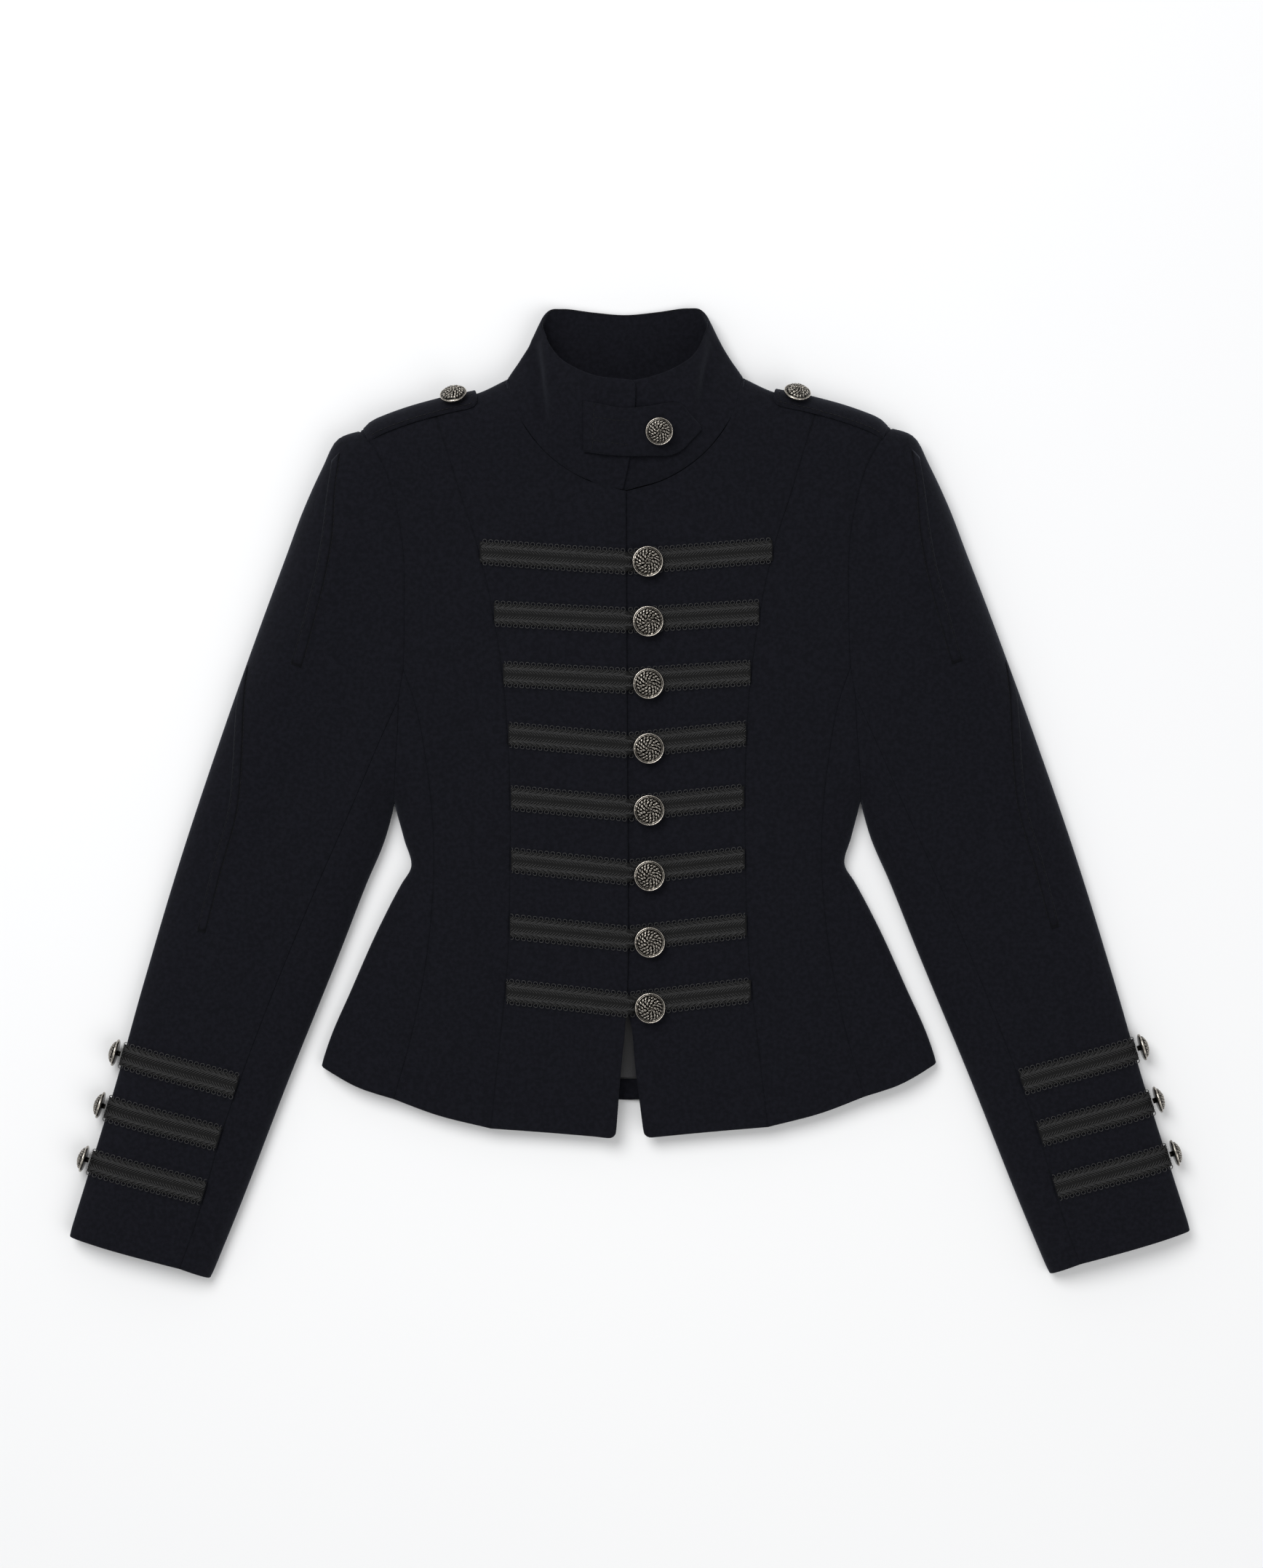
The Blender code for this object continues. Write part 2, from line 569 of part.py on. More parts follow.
def collar_row(row, side, lifted):
    """One collar station: its base on the neckline, its middle and its rim."""
    bx, by, mx, my, mz, rx, ry, rz = row
    points = np.array([(bx * side, by, 0.0), (mx * side, my, mz), (rx * side, ry, rz)])
    points[0] = on_neckline(points[0], lifted)
    if lifted:
        points[1:, 2] += front_lap(points[1:, 0])
    return points


def on_neckline(point, lifted):
    """The place on the neckline of the panels that is nearest in plan, just inside it."""
    front = "front_center_left" if lifted else "front_center_right"
    best = None
    for line in (neck_lines[front], neck_lines["back_center"]):
        for start, end in zip(line[:-1], line[1:]):
            step = (end - start)[:2]
            t = min(max(float(np.dot(point[:2] - start[:2], step) / np.dot(step, step)), 0.0), 1.0)
            place = start + (end - start) * t
            distance = np.linalg.norm(place[:2] - point[:2])
            if best is None or distance < best[0]:
                best = (distance, place)
    place = best[1].copy()
    inward = np.array(NECK_CENTRE) - place[:2]
    if place[1] > NECK_CENTRE[1] and abs(place[0]) < BACK_NECK_REACH:
        inward = np.array([0.0, 1.0])
    place[:2] += inward / np.linalg.norm(inward) * 2 * SEAM
    return place


def collar_grid(rows, count, heights):
    """Points over the collar from its stations, each curved through base, middle and rim."""
    stations = np.array(rows)
    steps = np.linalg.norm(np.diff(stations[:, 1], axis=0), axis=1)
    knots = np.concatenate([[0], np.cumsum(steps)])
    slopes = np.gradient(stations, knots, axis=0)
    grid = []
    for place in np.linspace(0, knots[-1], count):
        k = min(max(int(np.searchsorted(knots, place, side="right")) - 1, 0), len(knots) - 2)
        span = knots[k + 1] - knots[k]
        t = (place - knots[k]) / span
        curve = (2 * t**3 - 3 * t**2 + 1) * stations[k] + (t**3 - 2 * t**2 + t) * span * slopes[k]
        curve = curve + (3 * t**2 - 2 * t**3) * stations[k + 1] + (t**3 - t**2) * span * slopes[k + 1]
        base, middle, rim = curve
        column = []
        for w in heights:
            point = base * (2 * w - 1) * (w - 1) + middle * 4 * w * (1 - w) + rim * w * (2 * w - 1)
            column.append(point)
        grid.append(column)
    return np.array(grid)


def grid_normals(grid):
    along = np.gradient(grid, axis=0)
    up = np.gradient(grid, axis=1)
    normals = np.cross(along, up)
    return normals / np.linalg.norm(normals, axis=2)[:, :, None]


def collar_stations():
    right = [collar_row(row, 1, False) for row in COLLAR]
    left = [collar_row(row, -1, True) for row in COLLAR[1:-1]][::-1]
    start = right[0].copy()
    start[:, 0] = (-9.0, -9.0, -9.0)
    end = right[0].copy() + (0, 0, LAP)
    end[:, 0] = (-3.0, 4.0, 6.6)
    return [start] + right + left + [end]


def collar():
    grid = collar_grid(collar_stations(), 46, even(5))
    for k, column in enumerate(grid):
        column[0] = on_neckline(column[0], k > len(grid) // 2)
    grid[:, :, 2] = np.maximum(grid[:, :, 2], 0.0)
    normals = grid_normals(grid)
    outward = np.sign((normals[:, :, 1] * (grid[:, :, 1] - 315) + normals[:, :, 0] * grid[:, :, 0]).sum())
    wall("collar", grid, grid - normals * outward * WALL, WOOL)


def plain_collar_front():
    """Many points over the right half of the collar front."""
    rows = [collar_row(row, 1, False) for row in COLLAR[:6]]
    start = rows[1] * (-1, 1, 1)
    return collar_grid([start] + rows, 60, even(24)).reshape(-1, 3)


def collar_height(points, x, y):
    """Height over (x, y) of the collar front that the points are of."""
    near = points[np.argsort(((points[:, :2] - (abs(x), y)) ** 2).sum(1))[:4]]
    weights = 1 / (np.linalg.norm(near[:, :2] - (abs(x), y), axis=1) + 0.01)
    return float((near[:, 2] * weights).sum() / weights.sum())


def tab_lift(x):
    return front_lap(x) if x < 10 else LAP * (1 - smooth_step((x - 10) / 24))


def collar_tab(front):
    """The strap on the collar front, whose points are given."""
    outer = []
    for x, low, high in smooth_line(TAB, 12):
        row = []
        for share in even(4):
            y = low + (high - low) * share
            row.append((x, y, collar_height(front, x, y) + tab_lift(x) + REST + STRAP_WALL))
        outer.append(row)
    outer = np.array(outer)
    wall("collar_tab", outer, outer - (0, 0, STRAP_WALL), WOOL)
    x, y = TAB_BUTTON
    foot = np.array([x, y, collar_height(front, x, y) + tab_lift(x) + REST + STRAP_WALL + TAB_BUTTON_GAP])
    button("tab_button", SMALL_BUTTON / 2, foot, (0, -0.1, 1))


def epaulette(side):
    """A shoulder strap, folded over the shoulder edge."""
    outer = np.zeros((len(STRAP_STATIONS), len(STRAP_SPANS), 3))
    normals = np.zeros_like(outer)
    for i, (x, narrow) in enumerate(STRAP_STATIONS):
        y = shoulder_y(x)
        away = nearest_edge(x, y)[1]
        for j, (distance, face) in enumerate(STRAP_SPANS):
            at = np.array([x, y]) + away * distance * narrow
            outer[i, j], normals[i, j] = surface(at[0], at[1], face, BODY_LOFT)
    mirror = np.array([side, 1.0, 1.0])
    outer, normals = outer * mirror, normals * mirror
    name = side_name("epaulette", side)
    rest = np.array([STRAP_REST if face > 0 else UNDER_STRAP_REST for _, face in STRAP_SPANS])
    rest = rest[None, :, None]
    wall(name, outer + normals * (rest + STRAP_WALL), outer + normals * rest, WOOL)


def strip(name, flat, loft, side, lift, rest):
    """A braid row over a grid of x and y on one half; lift is added per column."""
    outer, normals = np.zeros(flat.shape[:2] + (3,)), np.zeros(flat.shape[:2] + (3,))
    for i in range(flat.shape[0]):
        for j in range(flat.shape[1]):
            outer[i, j], normals[i, j] = surface(flat[i, j, 0], flat[i, j, 1], 1, loft)
            outer[i, j, 2] += lift[j]
    mirror = np.array([side, 1.0, 1.0])
    outer, normals = outer * mirror, normals * mirror
    wall(name, outer + normals * (rest + BRAID_WALL), outer + normals * rest, BRAID)


def front_braids():
    """The rows of braid on both fronts; the upper ones run on past the edge, under the buttons."""
    seam = smooth_line(FRONT_SEAM, 60)
    half = BRAID_HEIGHT / 2
    for k, (edge_y, seam_y, _) in enumerate(FRONT_BRAIDS, start=1):
        seam_x = float(np.interp(seam_y, seam[::-1, 1], seam[::-1, 0])) - BRAID_END_GAP
        for side in (-1, 1):
            if side < 0:
                shares, ends = [0, 0.1, 0.17, 0.5, 1], (BRAID_END_GAP, seam_x)
            else:
                shares, ends = [0, 0.3, 0.6, 1], (UNDER_BRAID_START, seam_x)
            xs = [ends[0] + (ends[1] - ends[0]) * share for share in shares]
            ys = [edge_y + (seam_y - edge_y) * x / seam_x for x in xs]
            halves, lifts = [half] * len(xs), [front_lap(-x) if side < 0 else 0.0 for x in xs]
            if side < 0:
                xs, ys = [-BRAID_TONGUE[0]] + xs, [edge_y] + ys
                halves, lifts = [BRAID_TONGUE[1]] + halves, [LAP] + lifts
            rows = [[(x, y + tall * t) for x, y, tall in zip(xs, ys, halves)] for t in (1, 0, -1)]
            flat = np.array(rows)
            strip(f"{side_name('front_braid', side)}_{k}", flat, BODY_LOFT, side, lifts, REST)


def cuff_braids(side):
    half, shares = BRAID_HEIGHT / 2, (0, 0.3, 0.6, 0.83, 0.92, 0.98, 1)
    edge, inseam = smooth_line(OUTER_EDGE, 60), smooth_line(INSEAM, 60)
    for k, (edge_y, seam_y) in enumerate(CUFF_BRAIDS, start=1):
        rows = []
        for t in (1, 0, -1):
            outer_y, inner_y = edge_y + half * t, seam_y + half * t
            end = np.array([np.interp(outer_y, edge[::-1, 1], edge[::-1, 0]) - 0.1, outer_y])
            start = np.array([np.interp(inner_y, inseam[::-1, 1], inseam[::-1, 0]) + 0.8, inner_y])
            rows.append([start + (end - start) * u for u in shares])
        name = f"{side_name('cuff_braid', side)}_{k}"
        strip(name, np.array(rows), SLEEVE_LOFT, side, [0.0] * len(shares), CUFF_REST)


def button(name, radius, foot, axis):
    """A turned shank button standing on foot, along axis."""
    axis = np.array(axis, float) / np.linalg.norm(axis)
    guide = np.array([0.0, 1.0, 0.0]) if abs(axis[1]) < 0.9 else np.array([1.0, 0.0, 0.0])
    across = np.cross(axis, guide)
    across /= np.linalg.norm(across)
    other = np.cross(axis, across)
    points = [np.array(foot)]
    for reach, height in BUTTON_PROFILE:
        for k in range(BUTTON_SIDES):
            turn = 2 * math.pi * k / BUTTON_SIDES
            spoke = across * math.cos(turn) + other * math.sin(turn)
            points.append(foot + axis * height * radius + spoke * reach * radius)
    points.append(foot + axis * BUTTON_TOP * radius)
    faces = []
    for ring in range(len(BUTTON_PROFILE) - 1):
        for k in range(BUTTON_SIDES):
            a, b = 1 + ring * BUTTON_SIDES + k, 1 + ring * BUTTON_SIDES + (k + 1) % BUTTON_SIDES
            faces.append((a, b, b + BUTTON_SIDES, a + BUTTON_SIDES))
    last = 1 + (len(BUTTON_PROFILE) - 1) * BUTTON_SIDES
    for k in range(BUTTON_SIDES):
        faces.append((0, 1 + (k + 1) % BUTTON_SIDES, 1 + k))
        faces.append((len(points) - 1, last + k, last + (k + 1) % BUTTON_SIDES))
    if volume(points, faces) < 0:
        faces = [tuple(reversed(face)) for face in faces]
    add_mesh(name, points, faces, METAL)


def buttons():
    on_braid = REST + BRAID_WALL + FRONT_BUTTON_GAP
    for k, (_, _, y) in enumerate(FRONT_BRAIDS, start=1):
        point, normal = surface(BUTTON_LINE, y, 1, BODY_LOFT)
        button(f"front_button_{k}", FRONT_BUTTON / 2, point + normal * on_braid, (0, 0, 1))
    for side in (-1, 1):
        mirror = np.array([side, 1.0, 1.0])
        ridge = np.array([EPAULETTE_BUTTON[0], shoulder_y(EPAULETTE_BUTTON[0])])
        at = ridge + nearest_edge(*ridge)[1] * EPAULETTE_BUTTON[1]
        point, normal = surface(at[0], at[1], 1, BODY_LOFT)
        foot = point + normal * (STRAP_REST + STRAP_WALL + STRAP_BUTTON_GAP)
        button(side_name("epaulette_button", side), SMALL_BUTTON / 2, foot * mirror, normal * mirror)
        edge = smooth_line(OUTER_EDGE, 60)
        for k, (edge_y, _) in enumerate(CUFF_BRAIDS, start=1):
            x = float(np.interp(edge_y, edge[::-1, 1], edge[::-1, 0]))
            outward = -np.append(nearest_edge(x, edge_y)[1], 0.0)
            point = surface(x, edge_y, 1, SLEEVE_LOFT)[0]
            foot = point + outward * (CUFF_REST + BRAID_WALL + CUFF_BUTTON_GAP)
            name = f"{side_name('cuff_button', side)}_{k}"
            button(name, SMALL_BUTTON / 2, foot * mirror, outward * mirror)


def flat_patch(name, size, spec):
    """A flat piece on the inside of the back, which shows between the fronts."""
    reach, low, high, thickness = size
    bottom = WALL + PATCH_GAP
    outer = np.array([[(x, y, bottom) for x in (-reach, reach)] for y in (high, low)])
    wall(name, outer + (0, 0, thickness), outer, spec)


def main():
    for thing in list(bpy.data.objects):
        bpy.data.objects.remove(thing)
    for side in (-1, 1):
        front_center(side)
        front_side(side)
        side_panel(side)
        back_side(side)
        top_sleeve(side)
        under_sleeve(side)
        epaulette(side)
        cuff_braids(side)
    back_center()
    collar()
    collar_tab(plain_collar_front())
    front_braids()
    buttons()
    flat_patch("back_lining", LINING, SATIN)
    flat_patch("hem_facing", HEM_FACING, WOOL)


main()
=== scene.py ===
"""The looks of a short military jacket laid flat: napped wool, gimp braid and antique silver buttons.

The tables are in millimetres, as the jacket's own plan: x from the centre line, y up towards the collar,
z up from the surface that it lies on. Each cloth piece is a shell on the form of its solid.
"""

import math

import bpy
import numpy as np
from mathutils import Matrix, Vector


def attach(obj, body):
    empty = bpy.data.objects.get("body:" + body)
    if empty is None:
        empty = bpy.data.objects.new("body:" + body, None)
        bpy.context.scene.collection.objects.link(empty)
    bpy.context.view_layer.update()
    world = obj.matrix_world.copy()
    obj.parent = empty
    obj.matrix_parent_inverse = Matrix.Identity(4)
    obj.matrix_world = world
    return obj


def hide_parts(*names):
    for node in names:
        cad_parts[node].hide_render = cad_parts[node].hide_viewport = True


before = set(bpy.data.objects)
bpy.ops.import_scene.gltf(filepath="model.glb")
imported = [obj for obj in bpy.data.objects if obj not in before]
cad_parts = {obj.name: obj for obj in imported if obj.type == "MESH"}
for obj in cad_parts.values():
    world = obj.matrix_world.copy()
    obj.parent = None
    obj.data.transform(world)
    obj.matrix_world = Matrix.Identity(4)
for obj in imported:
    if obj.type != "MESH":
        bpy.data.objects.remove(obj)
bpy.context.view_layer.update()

MM = 0.001
# The cloth's wall, how far a panel stops short of its seam line, and the folds' height for one unit.
WALL = 2.2
SEAM = -0.03
FOLD_SCALE = 2.4
# The left front laps over the right one: how high, from where, over what run, and the right one's reach.
LAP = 2.8
LAP_FROM = 28.0
LAP_RUN = 12.0
UNDERLAP = 10.0
# The straps and the braid: their walls, and how far they rest off the cloth under them.
STRAP_WALL = 2.0
BRAID_WALL = 1.6
BRAID_HEIGHT = 19.5
REST = 0.5
STRAP_REST = 0.7
UNDER_STRAP_REST = 1.3
CUFF_BRAID_LIFT = 0.5
# Buttons: widths, the front row's line, and the gap under each kind.
FRONT_BUTTON = 22.4
SMALL_BUTTON = 20.0
BUTTON_LINE = 15.8
BRAID_BUTTON_GAP = 0.35
TAB_BUTTON_GAP = 0.8
STRAP_BUTTON_GAP = 0.5
# The upper face's round-off, and how near a fold edge a point counts as on it.
TOP_ROUND = 34.0
ON_EDGE = 0.6
# The sleeve's back seam: its distance from the outer edge, and its start down the back armhole.
BACK_SLEEVE_SEAM = 22.0
BACK_SEAM_START = 26.0
# The fine mesh's step, the rounding of a panel's edges and hem corner, and the pressing beside a seam.
STEP = 4.0
EDGE_ROUND = 1.1
HEM_CORNER = 5.5
PRESS_DEPTH = 0.45
PRESS_WIDTH = 4.5
# Sewing thread: a stitch, the gap after it, where a line starts, the half thickness, and the rise.
STITCH = 2.6
STITCH_GAP = 0.8
STITCH_START = 0.3
THREAD_RADIUS = 0.24
STITCH_RISE = (-0.2, 0.05, 0.12, 0.05, -0.2)
TUBE_SIDES = 4
# Lights in watts, and the strength of the white air around them.
KEY_POWER = 75.0
FILL_POWER = 30.0
AIR = 0.45
# The camera, in metres and degrees, and the height of what it sees on the floor.
CAMERA_X, CAMERA_Y, CAMERA_HEIGHT = 0.003, 0.0062, 2.6
CAMERA_ROLL = -0.3
VIEW_HEIGHT = 1.1637
SENSOR = 36.0
FLOOR_REACH = 6.0
FLOOR_DROP = 0.0005

# Outlines of one half, as x and y.
SHOULDER = [(87.2, 305.6), (108.0, 295.8), (135.5, 289.3), (166.4, 280.5), (184.5, 273.5), (196.0, 268.2)]
OUTER_EDGE = [
    (196.0, 268.2), (212.0, 262.0), (223.8, 241.4), (239.0, 209.0), (251.4, 176.6), (269.7, 128.0),
    (298.9, 47.0), (331.8, -50.2), (361.0, -147.4), (379.0, -212.2), (394.0, -260.8), (414.5, -325.9),
]
INNER_EDGE = [
    (172.4, -8.6), (179.6, -34.0), (193.3, -66.4), (212.5, -115.0), (252.2, -212.2), (290.3, -309.4),
    (310.4, -358.0),
]
INSEAM = [
    (168.0, 69.7), (182.0, 38.9), (201.7, -7.0), (229.6, -69.1), (273.0, -174.4), (299.0, -246.2),
    (322.2, -323.5), (331.9, -349.4),
]
SIDE_EDGE = [
    (172.4, -8.6), (165.5, -34.0), (160.6, -55.0), (167.4, -66.4), (184.4, -98.8), (206.3, -147.4),
    (220.6, -179.8), (228.0, -201.4),
]
ARMHOLE_FRONT = [
    (196.0, 268.2), (189.3, 260.5), (178.0, 241.4), (169.8, 216.0), (164.8, 189.5), (163.0, 160.4),
    (163.2, 133.4), (163.6, 107.5), (164.4, 91.3),
]
ARMHOLE_LOW = [
    (164.4, 91.3), (168.0, 69.7), (168.6, 50.0), (170.2, 28.0), (171.4, 10.0), (172.0, 0.0), (172.4, -8.6),
]
ARMHOLE_BACK = [(196.0, 268.2), (187.0, 240.0), (180.0, 200.0), (176.5, 140.0), (175.0, 80.0)]
BACK_LOW = [(172.4, -8.6), (173.2, -2.0), (174.2, 15.0), (174.8, 45.0), (175.0, 80.0)]
FRONT_SEAM = [
    (142.5, 287.4), (129.4, 246.2), (120.6, 217.1), (110.6, 186.8), (97.9, 131.8), (90.7, 80.5),
    (87.2, 28.6), (86.7, -56.7), (89.5, -131.2), (96.0, -192.2), (102.3, -247.6),
]
SIDE_SEAM = [
    (164.4, 91.3), (156.5, 68.6), (147.7, 21.1), (143.0, -36.7), (146.8, -106.9), (160.0, -177.1),
    (173.7, -225.5),
]
BACK_SIDE_SEAM = [
    (175.0, 80.0), (156.0, 34.0), (141.0, -20.0), (137.0, -56.0), (152.0, -125.0), (180.0, -210.0),
]
BACK_SEAM = [
    (118.0, 293.2), (100.0, 220.0), (82.0, 120.0), (66.0, 30.0), (60.0, -56.0), (74.0, -150.0),
    (88.0, -225.0),
]
FRONT_NECK = [(0.0, 220.9), (29.0, 229.5), (56.9, 247.9), (77.8, 275.4), (87.2, 305.6)]
BACK_NECK = [(87.2, 305.6), (62.0, 298.0), (30.0, 294.5), (0.0, 293.8)]
NECK_MIDDLE = (0.0, 292.0)
BACK_NECK_REACH = 80.0
FRONT_HEM = [(10.0, -255.4), (59.0, -251.0), (102.3, -247.6)]
FRONT_SIDE_HEM = [(102.3, -247.6), (143.0, -237.1), (173.7, -225.5)]
SIDE_HEM = [(173.7, -225.5), (198.0, -217.6), (228.0, -201.4)]
BACK_SIDE_HEM = [(88.0, -225.0), (180.0, -210.0)]
BACK_HEM = [(0.0, -228.0), (88.0, -225.0)]
UNDER_SIDE_HEM = [(228.0, -201.4), (180.0, -210.0)]
CUFF = [(310.4, -358.0), (331.9, -349.4), (372.0, -338.6), (414.5, -325.9)]
UPPER_EDGE = [
    (0.0, 220.9), (0.0, 50.0), (0.0, -70.0), (0.2, -120.0), (2.3, -169.6), (6.3, -210.0), (10.0, -255.4),
]
UNDER_EDGE = [
    (-UNDERLAP, 220.9), (-UNDERLAP, 50.0), (-UNDERLAP, -60.0), (-UNDERLAP, -115.0), (-6.0, -145.0),
    (1.4, -169.6), (4.5, -200.9), (11.0, -255.4),
]

# How far the cloth stands off the surface, as y and z, over the body and over the sleeves.
BODY_LOFT = [
    (-260.0, 15.0), (-120.0, 19.0), (-56.0, 21.0), (0.0, 24.0), (100.0, 28.0), (200.0, 31.0), (270.0, 33.0),
]
SLEEVE_LOFT = [
    (-360.0, 21.0), (-200.0, 21.0), (-100.0, 21.0), (0.0, 24.0), (100.0, 28.0), (200.0, 31.0),
    (270.0, 33.0),
]
# How the crown edge turns under: y, height of the edge, reach of the turn.
CROWN_RIM = [
    (-330.0, 11.0, 16.0), (-190.0, 11.0, 16.0), (-120.0, 8.0, 13.0), (180.0, 8.0, 13.0),
    (230.0, 11.0, 26.0), (265.0, 15.0, 44.0),
]
LOW_RIM = [(-400.0, 7.0, 10.0), (400.0, 7.0, 10.0)]
# The sleeve's middle line, which its edges face: x at a height y, and its lean.
SLEEVE_MIDDLE, SLEEVE_MIDDLE_Y, SLEEVE_LEAN = 230.0, 60.0, 0.33
SHOULDER_FROM_Y = 260.0

# Collar stations from the front centre round to the back centre.
# base_x, base_y, middle_x, middle_y, middle_z, rim_x, rim_y, rim_z
COLLAR = [
    (0.0, 220.9, 0.0, 258.5, 41.0, 0.0, 300.8, 44.0),
    (29.0, 229.5, 26.6, 263.4, 40.0, 21.7, 304.8, 43.0),
    (56.9, 247.9, 50.4, 277.6, 36.5, 39.5, 312.6, 39.5),
    (77.8, 275.4, 66.9, 297.2, 30.0, 51.0, 322.4, 33.0),
    (85.6, 293.0, 74.0, 311.0, 23.0, 59.0, 336.4, 26.0),
    (87.2, 305.6, 74.0, 325.0, 15.0, 62.2, 348.6, 17.0),
    (77.0, 301.5, 67.0, 329.5, 6.0, 57.0, 357.0, 8.5),
    (60.0, 297.6, 54.0, 327.5, 1.2, 47.0, 358.6, 3.4),
    (30.0, 294.5, 28.0, 325.0, 0.0, 24.0, 356.0, 1.4),
    (0.0, 293.8, 0.0, 324.0, 0.0, 0.0, 354.0, 1.0),
]

# Rows of front braid: y at the front edge, y at the front seam, y of the button.
FRONT_BRAIDS = [
    (169.0, 176.9, 169.0), (126.1, 131.8, 125.3), (81.8, 87.5, 79.7), (34.6, 42.9, 32.2),
    (-11.9, -3.5, -13.2), (-58.9, -49.4, -61.3), (-107.6, -98.3, -110.3), (-156.3, -146.1, -158.7),
]
# Cuff braids: y on the outer edge, y on the inseam.
CUFF_BRAIDS = [(-192.0, -214.7), (-230.9, -252.9), (-270.5, -292.6)]

# The collar tab: x, lower y and upper y, from its sewn end to its point.
TAB = [
    (-31.0, 249.4, 286.6), (-21.0, 247.6, 284.2), (0.0, 245.6, 280.4), (18.0, 245.8, 282.0),
    (34.0, 246.8, 284.8), (40.5, 249.6, 284.0), (47.5, 256.4, 276.4), (55.6, 265.0, 267.6),
]
# Lines sewn on the tab: across its fixed end, and two along it.
TAB_SEWN = [
    [(-22.6, 283.8), (-23.4, 268.0), (-24.6, 248.6)],
    [(-22.9, 273.8), (-8.0, 271.4), (5.7, 270.9)],
    [(-24.0, 257.2), (-10.0, 255.0), (4.0, 253.4)],
]
TAB_BUTTON = (24.6, 263.4)
# The epaulette's button: x, and how far in front of the shoulder edge.
EPAULETTE_BUTTON = (126.0, 3.0)

# Soft folds of the cloth, each a ridge or a trough between two points.
# side, x and y at one end, x and y at the other, half width, height
FOLDS = [
    (-1, 208.0, 190.0, 262.0, 60.0, 16.0, 1.1), (-1, 236.0, 40.0, 286.0, -70.0, 15.0, -1.2),
    (-1, 262.0, -40.0, 318.0, -190.0, 17.0, 1.0), (-1, 292.0, -150.0, 336.0, -290.0, 13.0, -0.7),
    (-1, 186.0, 130.0, 224.0, 10.0, 12.0, -1.0), (-1, 176.0, 40.0, 208.0, -40.0, 9.0, 0.8),
    (1, 204.0, 200.0, 256.0, 80.0, 17.0, 1.0), (1, 240.0, 60.0, 292.0, -60.0, 14.0, -1.1),
    (1, 270.0, -50.0, 322.0, -200.0, 16.0, 1.1), (1, 300.0, -180.0, 344.0, -300.0, 14.0, -0.8),
    (1, 188.0, 120.0, 230.0, 0.0, 13.0, -0.9), (1, 178.0, 30.0, 206.0, -50.0, 9.0, 0.7),
    (-1, 60.0, 215.0, 132.0, 120.0, 18.0, 0.9), (1, 64.0, 210.0, 128.0, 110.0, 17.0, 0.8),
    (-1, 112.0, 60.0, 146.0, -50.0, 14.0, -0.8), (1, 116.0, 70.0, 148.0, -40.0, 15.0, -0.7),
    (-1, 110.0, -70.0, 132.0, -215.0, 16.0, 1.1), (1, 112.0, -80.0, 136.0, -220.0, 15.0, 1.0),
    (-1, 162.0, -90.0, 200.0, -190.0, 13.0, -0.9), (1, 160.0, -85.0, 196.0, -185.0, 14.0, -0.8),
    (-1, 30.0, -180.0, 44.0, -240.0, 13.0, 0.6), (1, 34.0, -176.0, 50.0, -238.0, 12.0, 0.6),
]
# The sewn line inside the back collar: its share of the height, and where the back collar starts.
FACING_LINE, BACK_COLLAR_FROM = 0.91, 322.0
COLLAR_LONG, COLLAR_TALL, COLLAR_CORNER = 470.0, 80.0, 5.0
# The left collar end's x at its base, middle and rim, and the right one's, which lies under it.
COLLAR_END, COLLAR_START = (-2.6, 4.8, 7.4), (-9.0, -9.0, -9.0)
COLLAR_FOLDS = [
    (-1, 67.5, 333.0, 60.0, 262.0, 5.0, -1.5), (-1, 60.0, 335.0, 51.0, 266.0, 5.0, 1.1),
    (1, 66.0, 331.0, 53.0, 272.0, 4.5, -1.4), (1, 58.5, 334.0, 45.0, 276.0, 5.0, 1.0),
    (1, 57.0, 300.0, 50.0, 262.0, 4.0, 0.4), (-1, 40.0, 262.0, 22.0, 248.0, 7.0, -0.6),
    (1, 44.0, 258.0, 24.0, 240.0, 7.0, -0.6), (-1, 30.0, 300.0, 6.0, 292.0, 7.0, 0.4),
]


def curve_through(rows, knots, places):
    """A smooth curve that has the given rows at its knots, taken at the given places."""
    slopes = np.gradient(rows, knots, axis=0)
    at = np.clip(np.searchsorted(knots, places, side="right") - 1, 0, len(knots) - 2)
    span = (knots[at + 1] - knots[at]).reshape((-1,) + (1,) * (rows.ndim - 1))
    t = (places - knots[at]).reshape(span.shape) / span
    start = (2 * t**3 - 3 * t**2 + 1) * rows[at] + (t**3 - 2 * t**2 + t) * span * slopes[at]
    end = (3 * t**2 - 2 * t**3) * rows[at + 1] + (t**3 - t**2) * span * slopes[at + 1]
    return start + end


def knots_of(points):
    """Distances along a line of points."""
    return np.concatenate([[0], np.cumsum(np.linalg.norm(np.diff(points, axis=0), axis=1))])


def smooth_line(table, count=None, stations=None):
    """Points on a rounded curve through a table, at even or given shares of its length."""
    rows = np.array(table, float)
    knots = knots_of(rows[:, :2])
    shares = np.linspace(0, 1, count) if stations is None else np.array(stations)
    return curve_through(rows, knots, shares * knots[-1])


def length(line):
    return float(knots_of(np.array(line, float)[:, :2])[-1])


CROWN = np.concatenate([smooth_line(SHOULDER, 60)[:-1], smooth_line(OUTER_EDGE, 200)])
SLEEVE_INNER = smooth_line(INNER_EDGE, 120)
BODY_SIDE = smooth_line(SIDE_EDGE, 90)
EDGES = [(CROWN, CROWN_RIM), (SLEEVE_INNER, LOW_RIM), (BODY_SIDE, LOW_RIM)]


def smooth_step(value):
    t = np.clip(value, 0.0, 1.0)
    return t * t * (3 - 2 * t)


def segment_distance(points, start, end):
    """Distance of each point to a segment, the share along it, and the offset from it."""
    step = end - start
    to = points - start
    t = np.clip((to @ step) / max(float(step @ step), 1e-9), 0, 1)
    away = to - t[:, None] * step
    return np.linalg.norm(away, axis=1), t, away


